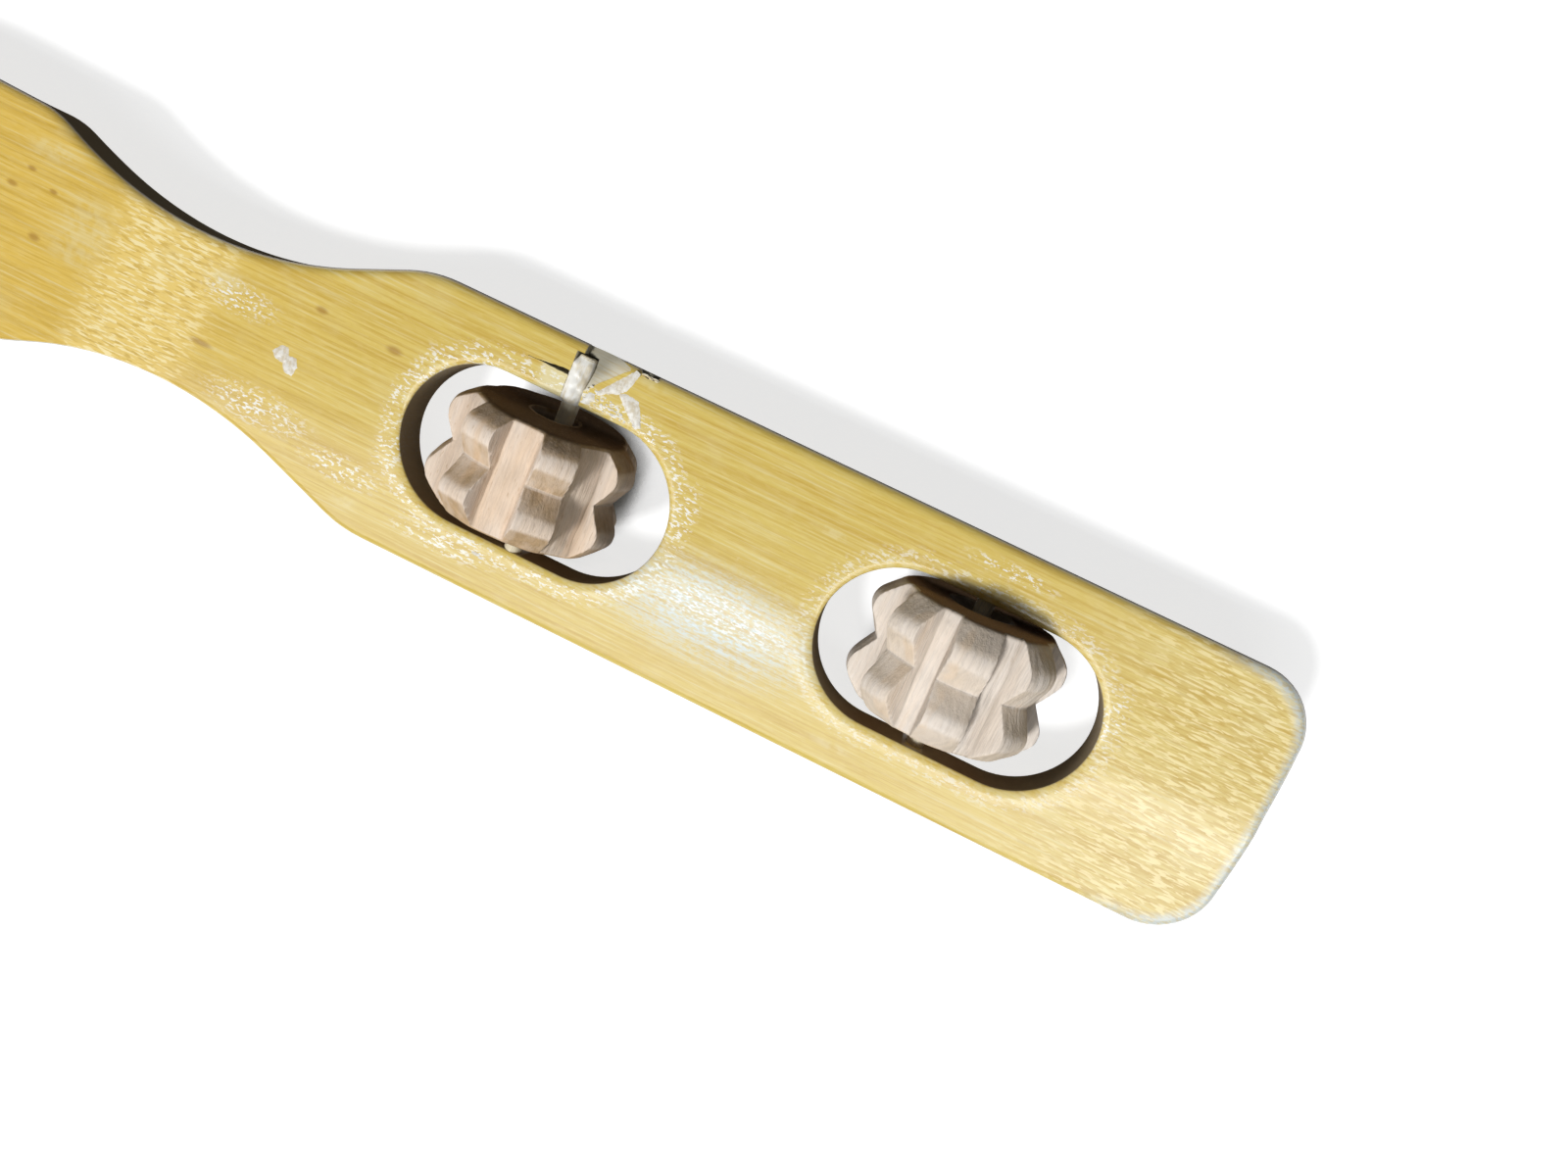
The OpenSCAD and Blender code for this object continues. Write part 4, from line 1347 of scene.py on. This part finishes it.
STREAK = ((8.0, 17.6), (9.1, 18.1), (11.4, 17.8), (12.3, 16.4), (13.2, 14.1), (12.4, 13.6), (11.1, 14.8),
          (9.7, 15.9))
RIDGE_FILM = ((4.5, 16.2), (6.3, 18.4), (8.1, 20.6), (9.2, 22.0), (10.0, 21.7), (9.7, 20.5), (9.0, 18.4),
              (7.8, 17.4), (6.2, 16.7), (5.2, 15.9))
PIN_FILM = ((2.8, 13.8), (3.1, 14.6), (3.5, 15.8), (4.6, 16.0), (4.8, 14.8), (3.8, 13.9))
FLAKE = ((-47.3, -0.2), (-46.2, 1.2), (-44.9, 1.4), (-44.4, 0.2), (-43.1, 0.3), (-42.4, -1.0), (-42.9, -2.7),
         (-44.3, -2.6), (-45.0, -1.4), (-46.4, -1.2))
FILMS = (("glue_streak", STREAK, 0.16, 1), ("glue_ridge", RIDGE_FILM, 0.14, 2),
         ("glue_by_pin", PIN_FILM, 0.2, 3), ("glue_flake", FLAKE, 0.14, 4))
FILM_BORDER = 0.35
FILM_JITTER = 0.07
FILM_GRID = 0.3
FILM_CLEAR = 0.15
FILM_SINK = 0.06
FILM_LIFT = 0.01
BEAD_SIDES = 48
BEAD_ROWS = 44
BEAD_CORE = 0.96
BEAD_SPREAD = 0.14
BEAD_LAP = 0.26
BEAD_RISE = 0.2
BEAD_SHOULDER = 0.42
DROP_SIDES = 10
DROP_RINGS = ((1.0, -0.06), (0.97, 0.3), (0.7, 0.8), (0.3, 1.0))
DROP_COUNT = 46


def film_piece(name, shape, outline, height, material, seed):
    """A thin film of glue on the top face, thinning to its edge."""
    path = filled_path([Vector(p) for p in outline], FILM_BORDER)
    chance = random.Random(seed)
    path = [p + Vector((chance.uniform(-FILM_JITTER, FILM_JITTER),
                        chance.uniform(-FILM_JITTER, FILM_JITTER))) for p in path]
    border = np.array([tuple(p) for p in path])
    low, high = border.min(axis=0), border.max(axis=0)
    xs, ys = np.meshgrid(np.arange(low[0], high[0], FILM_GRID), np.arange(low[1], high[1], FILM_GRID))
    grid = np.column_stack([xs.ravel(), ys.ravel()])
    grid = grid[inside(grid, border)]
    near = nearest_gaps(grid, border)
    grid, near = grid[near > FILM_CLEAR], near[near > FILM_CLEAR]
    rise = [0.0] * len(path) + [height * smooth_step(d, -0.1, 0.7)
                                * (0.75 + 0.5 * noise.noise(Vector((p[0] * 1.3, p[1] * 1.3, seed))))
                                for p, d in zip(grid, near)]
    points = path + [Vector(p) for p in grid]
    verts = []
    for sunk in (False, True):
        for p, up in zip(points, rise):
            x, y = shape.start + p.x * MM, p.y * MM
            level = shape.top - shape.sink(x, y)
            verts.append((x, y, level - FILM_SINK * MM if sunk else level + up * MM + FILM_LIFT * MM))
    count = len(points)
    faces = []
    for corners in net_faces(points, [(0, len(path))], 1e-6):
        faces += [corners, [i + count for i in reversed(corners)]]
    turned = sum(a.x * b.y - a.y * b.x for a, b in zip(path, path[1:] + path[:1])) > 0
    for i in range(len(path)):
        j = (i + 1) % len(path)
        side = (i, i + count, j + count, j)
        faces.append(side if turned else tuple(reversed(side)))
    return new_piece(name, verts, faces, material, 60)


def bead_piece(name, material):
    """Glue drawn over the bared pin and lapped to its left, from the slot to near the pin's end."""
    middle_x, middle_z, radius, pin_end = pin_line("grip_side_axle")
    core = radius * BEAD_CORE
    start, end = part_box("axle_glue")[0].y - 0.5 * MM, pin_end - 0.3 * MM
    turns = ring_turns(BEAD_SIDES)
    verts = []
    for y in np.linspace(start, end, BEAD_ROWS):
        ends = smooth_step(y, start, start + 0.8 * MM) * smooth_step(y, end, end - 1.5 * MM)
        for t, rough in zip(turns, ring_noise(turns, 1.6, y / (0.9 * MM))):
            up = math.cos(t)
            x, z = core * math.sin(t), core * up
            if up > 0:
                left = smooth_step(-x / radius, -0.45, 0.45)
                x = (core + (BEAD_SPREAD + BEAD_LAP * left) * MM * ends) * math.sin(t)
                z = core * (1 - ends) * up + radius * ends * up ** (0.85 - 0.55 * left)
                lump = BEAD_RISE * up * max(0.1, 0.6 + 0.9 * rough)
                z += (lump + BEAD_SHOULDER * left * up ** 0.3) * MM * ends
            verts.append((middle_x + x, y, middle_z + z))
    return new_piece(name, verts, capped_rings(BEAD_ROWS, BEAD_SIDES), material, 50)


def drop_piece(name, shape, drops, material):
    """Small flat drops of glue as one piece, each (x, y, half length, half width, height)."""
    verts, faces = [], []
    for number, (x, y, half_length, half_width, height) in enumerate(drops):
        faces += capped_rings(len(DROP_RINGS), DROP_SIDES, len(verts))
        for share, up in DROP_RINGS:
            for t in ring_turns(DROP_SIDES):
                wobble = 1 + 0.25 * noise.noise(Vector((math.cos(t), math.sin(t), number * 1.7)))
                px = shape.start + (x + half_length * share * wobble * math.cos(t)) * MM
                py = (y + half_width * share * wobble * math.sin(t)) * MM
                level = shape.top - shape.sink(px, py)
                verts.append((px, py, level + up * (height if up > 0 else 1.0) * MM))
    return new_piece(name, verts, faces, material, 60)


class SCRATCHER_OT_glue(bpy.types.Operator):
    """Build the glue of the repair: bead, films, streak, flake and drops"""
    bl_idname = "scratcher.glue"
    bl_label = "Glue"

    def execute(self, context):
        values = context.scene.scratcher
        shape = StripShape(values.strip)
        bead = glue_finish("drawn_glue", values.finishes, (1, 0.25, 1), 0.7, 1.0)
        film = glue_finish("film_glue", values.finishes, (1, 1, 1), 0.3, 0.6)
        carry(bead_piece("glue_bead", bead), "strip", "glue", "axle_glue")
        for name, outline, height, seed in FILMS:
            carry(film_piece(name, shape, outline, height, film, seed), "strip", "glue")

        # Drops lie between the pin, the ridge and the slot, and two by the lower rail
        chance = random.Random(21)
        drops = []
        while len(drops) < DROP_COUNT:
            x = chance.uniform(3.0, 12.5)
            y = chance.uniform(13.9, 17.5)
            if y < 17.0 - 0.25 * (x - 3):
                size = chance.uniform(0.08, 0.24)
                drops.append((x, y, size * chance.uniform(1.0, 2.4), size, chance.uniform(0.03, 0.08)))
        drops += [(-3.8, -15.9, 0.8, 0.3, 0.05), (-2.9, -16.2, 0.4, 0.2, 0.04)]
        carry(drop_piece("glue_drops", shape, drops, film), "strip", "glue")
        return {"FINISHED"}


# Splinters of the broken rail

SPLINTERS = 9
SPLINTER_WIDTH = 0.28 * MM
SPLINTER_THICKNESS = 0.2 * MM


def splinter_verts(path):
    """Corners of a flat splinter along a path of points in metres, pointed at both ends."""
    verts = []
    last = len(path) - 1
    for i, p in enumerate(path):
        share = math.sin(math.pi * (0.08 + 0.84 * i / last))
        ahead = (path[min(i + 1, last)] - path[max(i - 1, 0)]).normalized()
        side = Vector((-ahead.y, ahead.x, 0)).normalized() * SPLINTER_WIDTH / 2 * share
        up = Vector((0, 0, SPLINTER_THICKNESS / 2 * share))
        verts += [p - side - up, p + side - up, p + side + up, p - side + up]
    return verts


class SCRATCHER_OT_splinters(bpy.types.Operator):
    """Build the torn fibres left at the broken rail"""
    bl_idname = "scratcher.splinters"
    bl_label = "Splinters"

    def execute(self, context):
        values = context.scene.scratcher
        shape = StripShape(values.strip)
        chance = random.Random(9)
        verts, faces = [], []
        for number in range(SPLINTERS):
            x = 9.9 + 0.28 * number
            y = 21.75 + chance.uniform(-0.12, 0.25)
            depth = chance.uniform(0.4, 1.0)
            reach = chance.uniform(0.7, 1.4)
            path = [shape.at(x + reach * k / 4, y + 0.05 * math.sin(k), depth + 0.08 * math.cos(2 * k))
                    for k in range(5)]
            faces += capped_rings(len(path), 4, len(verts))
            verts += splinter_verts(path)
        piece = new_piece("torn_fibres", verts, faces, split_finish(values.finishes), 40)
        write_values(piece.data, "grain", [shape.flat(vert.co) for vert in piece.data.vertices])
        carry(piece, "strip", "bamboo")
        return {"FINISHED"}


# The stage

CAMERA_PLACE = (0.159556, 0.04126, 0.19048)
CAMERA_FORWARD = (-0.07075, -0.22478, -0.97184)
CAMERA_UP = (-0.43563, 0.88342, -0.17261)
CAMERA_LENS = 26.19
SENSOR_WIDTH = 36
CLIP_START = 0.005
KEY_FROM = (-0.22, -0.45, 1.0)
FLOOR_HALF = 3.0
CONTACT_REACH = 0.0115


def lamp(name, kind, place, aim, **settings):
    """A lamp at a place that looks at a point."""
    data = bpy.data.lights.new(name, kind)
    for key, value in settings.items():
        setattr(data, key, value)
    made = in_scene(name, data)
    made.location = place
    made.rotation_mode = "QUATERNION"
    made.rotation_quaternion = (Vector(aim) - Vector(place)).to_track_quat("-Z", "Y")
    return made


def floor_finish(colour, shine):
    """White to the eye and to reflections, dark under the object; a plain pale floor to other light."""
    finish = Finish("pale_floor")
    finish.tree.nodes.remove(finish.surface)
    path = finish.node("ShaderNodeLightPath").outputs
    seen = finish.most(path["Is Camera Ray"],
                       finish.most(path["Is Glossy Ray"], path["Is Transmission Ray"]))
    soft = finish.node("ShaderNodeBsdfDiffuse", {"Color": colour})
    dull = finish.node("ShaderNodeBsdfDiffuse", {"Color": shade(colour, 0.25)})
    open_sky = finish.node("ShaderNodeAmbientOcclusion", {"Distance": CONTACT_REACH}, samples=16)
    shown = finish.step(open_sky.outputs["AO"], 0.52, 0.74, 0.0, shine)
    glow = finish.node("ShaderNodeEmission", {"Color": (1, 1, 1), "Strength": shown})
    lit = finish.node("ShaderNodeAddShader", {0: soft.outputs[0], 1: glow.outputs[0]})
    both = finish.node("ShaderNodeMixShader", {0: seen, 1: dull.outputs[0], 2: lit.outputs[0]})
    finish.put(finish.output.inputs[0], both.outputs[0])
    return finish.material


class SCRATCHER_OT_stage(bpy.types.Operator):
    """Set up the floor, the lamps, the surroundings and the camera"""
    bl_idname = "scratcher.stage"
    bl_label = "Stage"

    def execute(self, context):
        values = context.scene.scratcher.stage
        scene = context.scene
        half = FLOOR_HALF
        floor = new_piece("floor", [(-half, -half, 0), (half, -half, 0), (half, half, 0), (-half, half, 0)],
                          [(0, 1, 2, 3)], floor_finish(values.floor, values.floor_glow))

        # The sun gives no glints; the two long lamps do
        key = lamp("key_light", "SUN", Vector(KEY_FROM), (0, 0, 0), energy=values.key, angle=values.key_size)
        key.visible_glossy = False
        lamp("strip_light", "AREA", (0.26, -0.30, 1.05), (0.26, -0.01, 0.02), energy=values.strip,
             shape="RECTANGLE", size=1.3, size_y=0.03, color=(0.88, 0.96, 1.0))
        lamp("window_light", "AREA", (0.12, -0.43, 1.02), (0.09, -0.01, 0.02), energy=values.window,
             shape="RECTANGLE", size=1.6, size_y=0.30, color=(0.98, 0.99, 1.0))

        # Surroundings that show white and give little light
        world = bpy.data.worlds.new("surroundings")
        world.use_nodes = True
        nodes = Nodes(world.node_tree)
        path = nodes.node("ShaderNodeLightPath").outputs
        seen = nodes.most(path["Is Camera Ray"], path["Is Transmission Ray"])
        strength = nodes.node("ShaderNodeMapRange", {0: seen, 3: values.ambient, 4: 1.0}).outputs[0]
        background = world.node_tree.nodes["Background"].inputs
        nodes.put(background["Color"], (1, 1, 1))
        nodes.put(background["Strength"], strength)
        scene.world = world

        camera = in_scene("camera", bpy.data.cameras.new("camera"))
        camera.data.sensor_fit = "HORIZONTAL"
        camera.data.sensor_width = SENSOR_WIDTH
        camera.data.lens = CAMERA_LENS
        camera.data.clip_start = CLIP_START
        back = -Vector(CAMERA_FORWARD).normalized()
        right = Vector(CAMERA_UP).cross(back).normalized()
        up = back.cross(right)
        turn = Matrix((right, up, back)).transposed().to_4x4()
        camera.matrix_world = Matrix.Translation(CAMERA_PLACE) @ turn
        scene.camera = camera
        scene.view_settings.view_transform = "Standard"
        return {"FINISHED"}


class SCRATCHER_PT_panel(bpy.types.Panel):
    """Lists the back scratcher's values and pieces"""
    bl_idname = "SCRATCHER_PT_panel"
    bl_label = "Back Scratcher"
    bl_space_type = "VIEW_3D"
    bl_region_type = "UI"
    bl_category = "Back Scratcher"

    def draw(self, context):
        values = context.scene.scratcher
        for title, group, operators in (
                ("Strip", values.strip, (SCRATCHER_OT_strip,)),
                ("Rollers", values.rollers, (SCRATCHER_OT_rollers, SCRATCHER_OT_axles)),
                ("Finishes", values.finishes, (SCRATCHER_OT_glue, SCRATCHER_OT_splinters)),
                ("Stage", values.stage, (SCRATCHER_OT_stage,))):
            box = self.layout.box()
            box.label(text=title)
            for name in group.bl_rna.properties.keys():
                if name not in ("rna_type", "name"):
                    box.prop(group, name)
            for operator in operators:
                box.operator(operator.bl_idname)


CLASSES = (StripSizes, RollerSizes, Finishes, StageValues, ScratcherValues, SCRATCHER_OT_strip,
           SCRATCHER_OT_rollers, SCRATCHER_OT_axles, SCRATCHER_OT_glue, SCRATCHER_OT_splinters,
           SCRATCHER_OT_stage, SCRATCHER_PT_panel)


def register():
    for item in CLASSES:
        bpy.utils.register_class(item)
    bpy.types.Scene.scratcher = PointerProperty(type=ScratcherValues)


def unregister():
    del bpy.types.Scene.scratcher
    for item in reversed(CLASSES):
        bpy.utils.unregister_class(item)


def main():
    register()
    bpy.ops.scratcher.stage()
    bpy.ops.scratcher.strip()
    bpy.ops.scratcher.rollers()
    bpy.ops.scratcher.axles()
    bpy.ops.scratcher.glue()
    bpy.ops.scratcher.splinters()


if __name__ == "__main__":
    main()
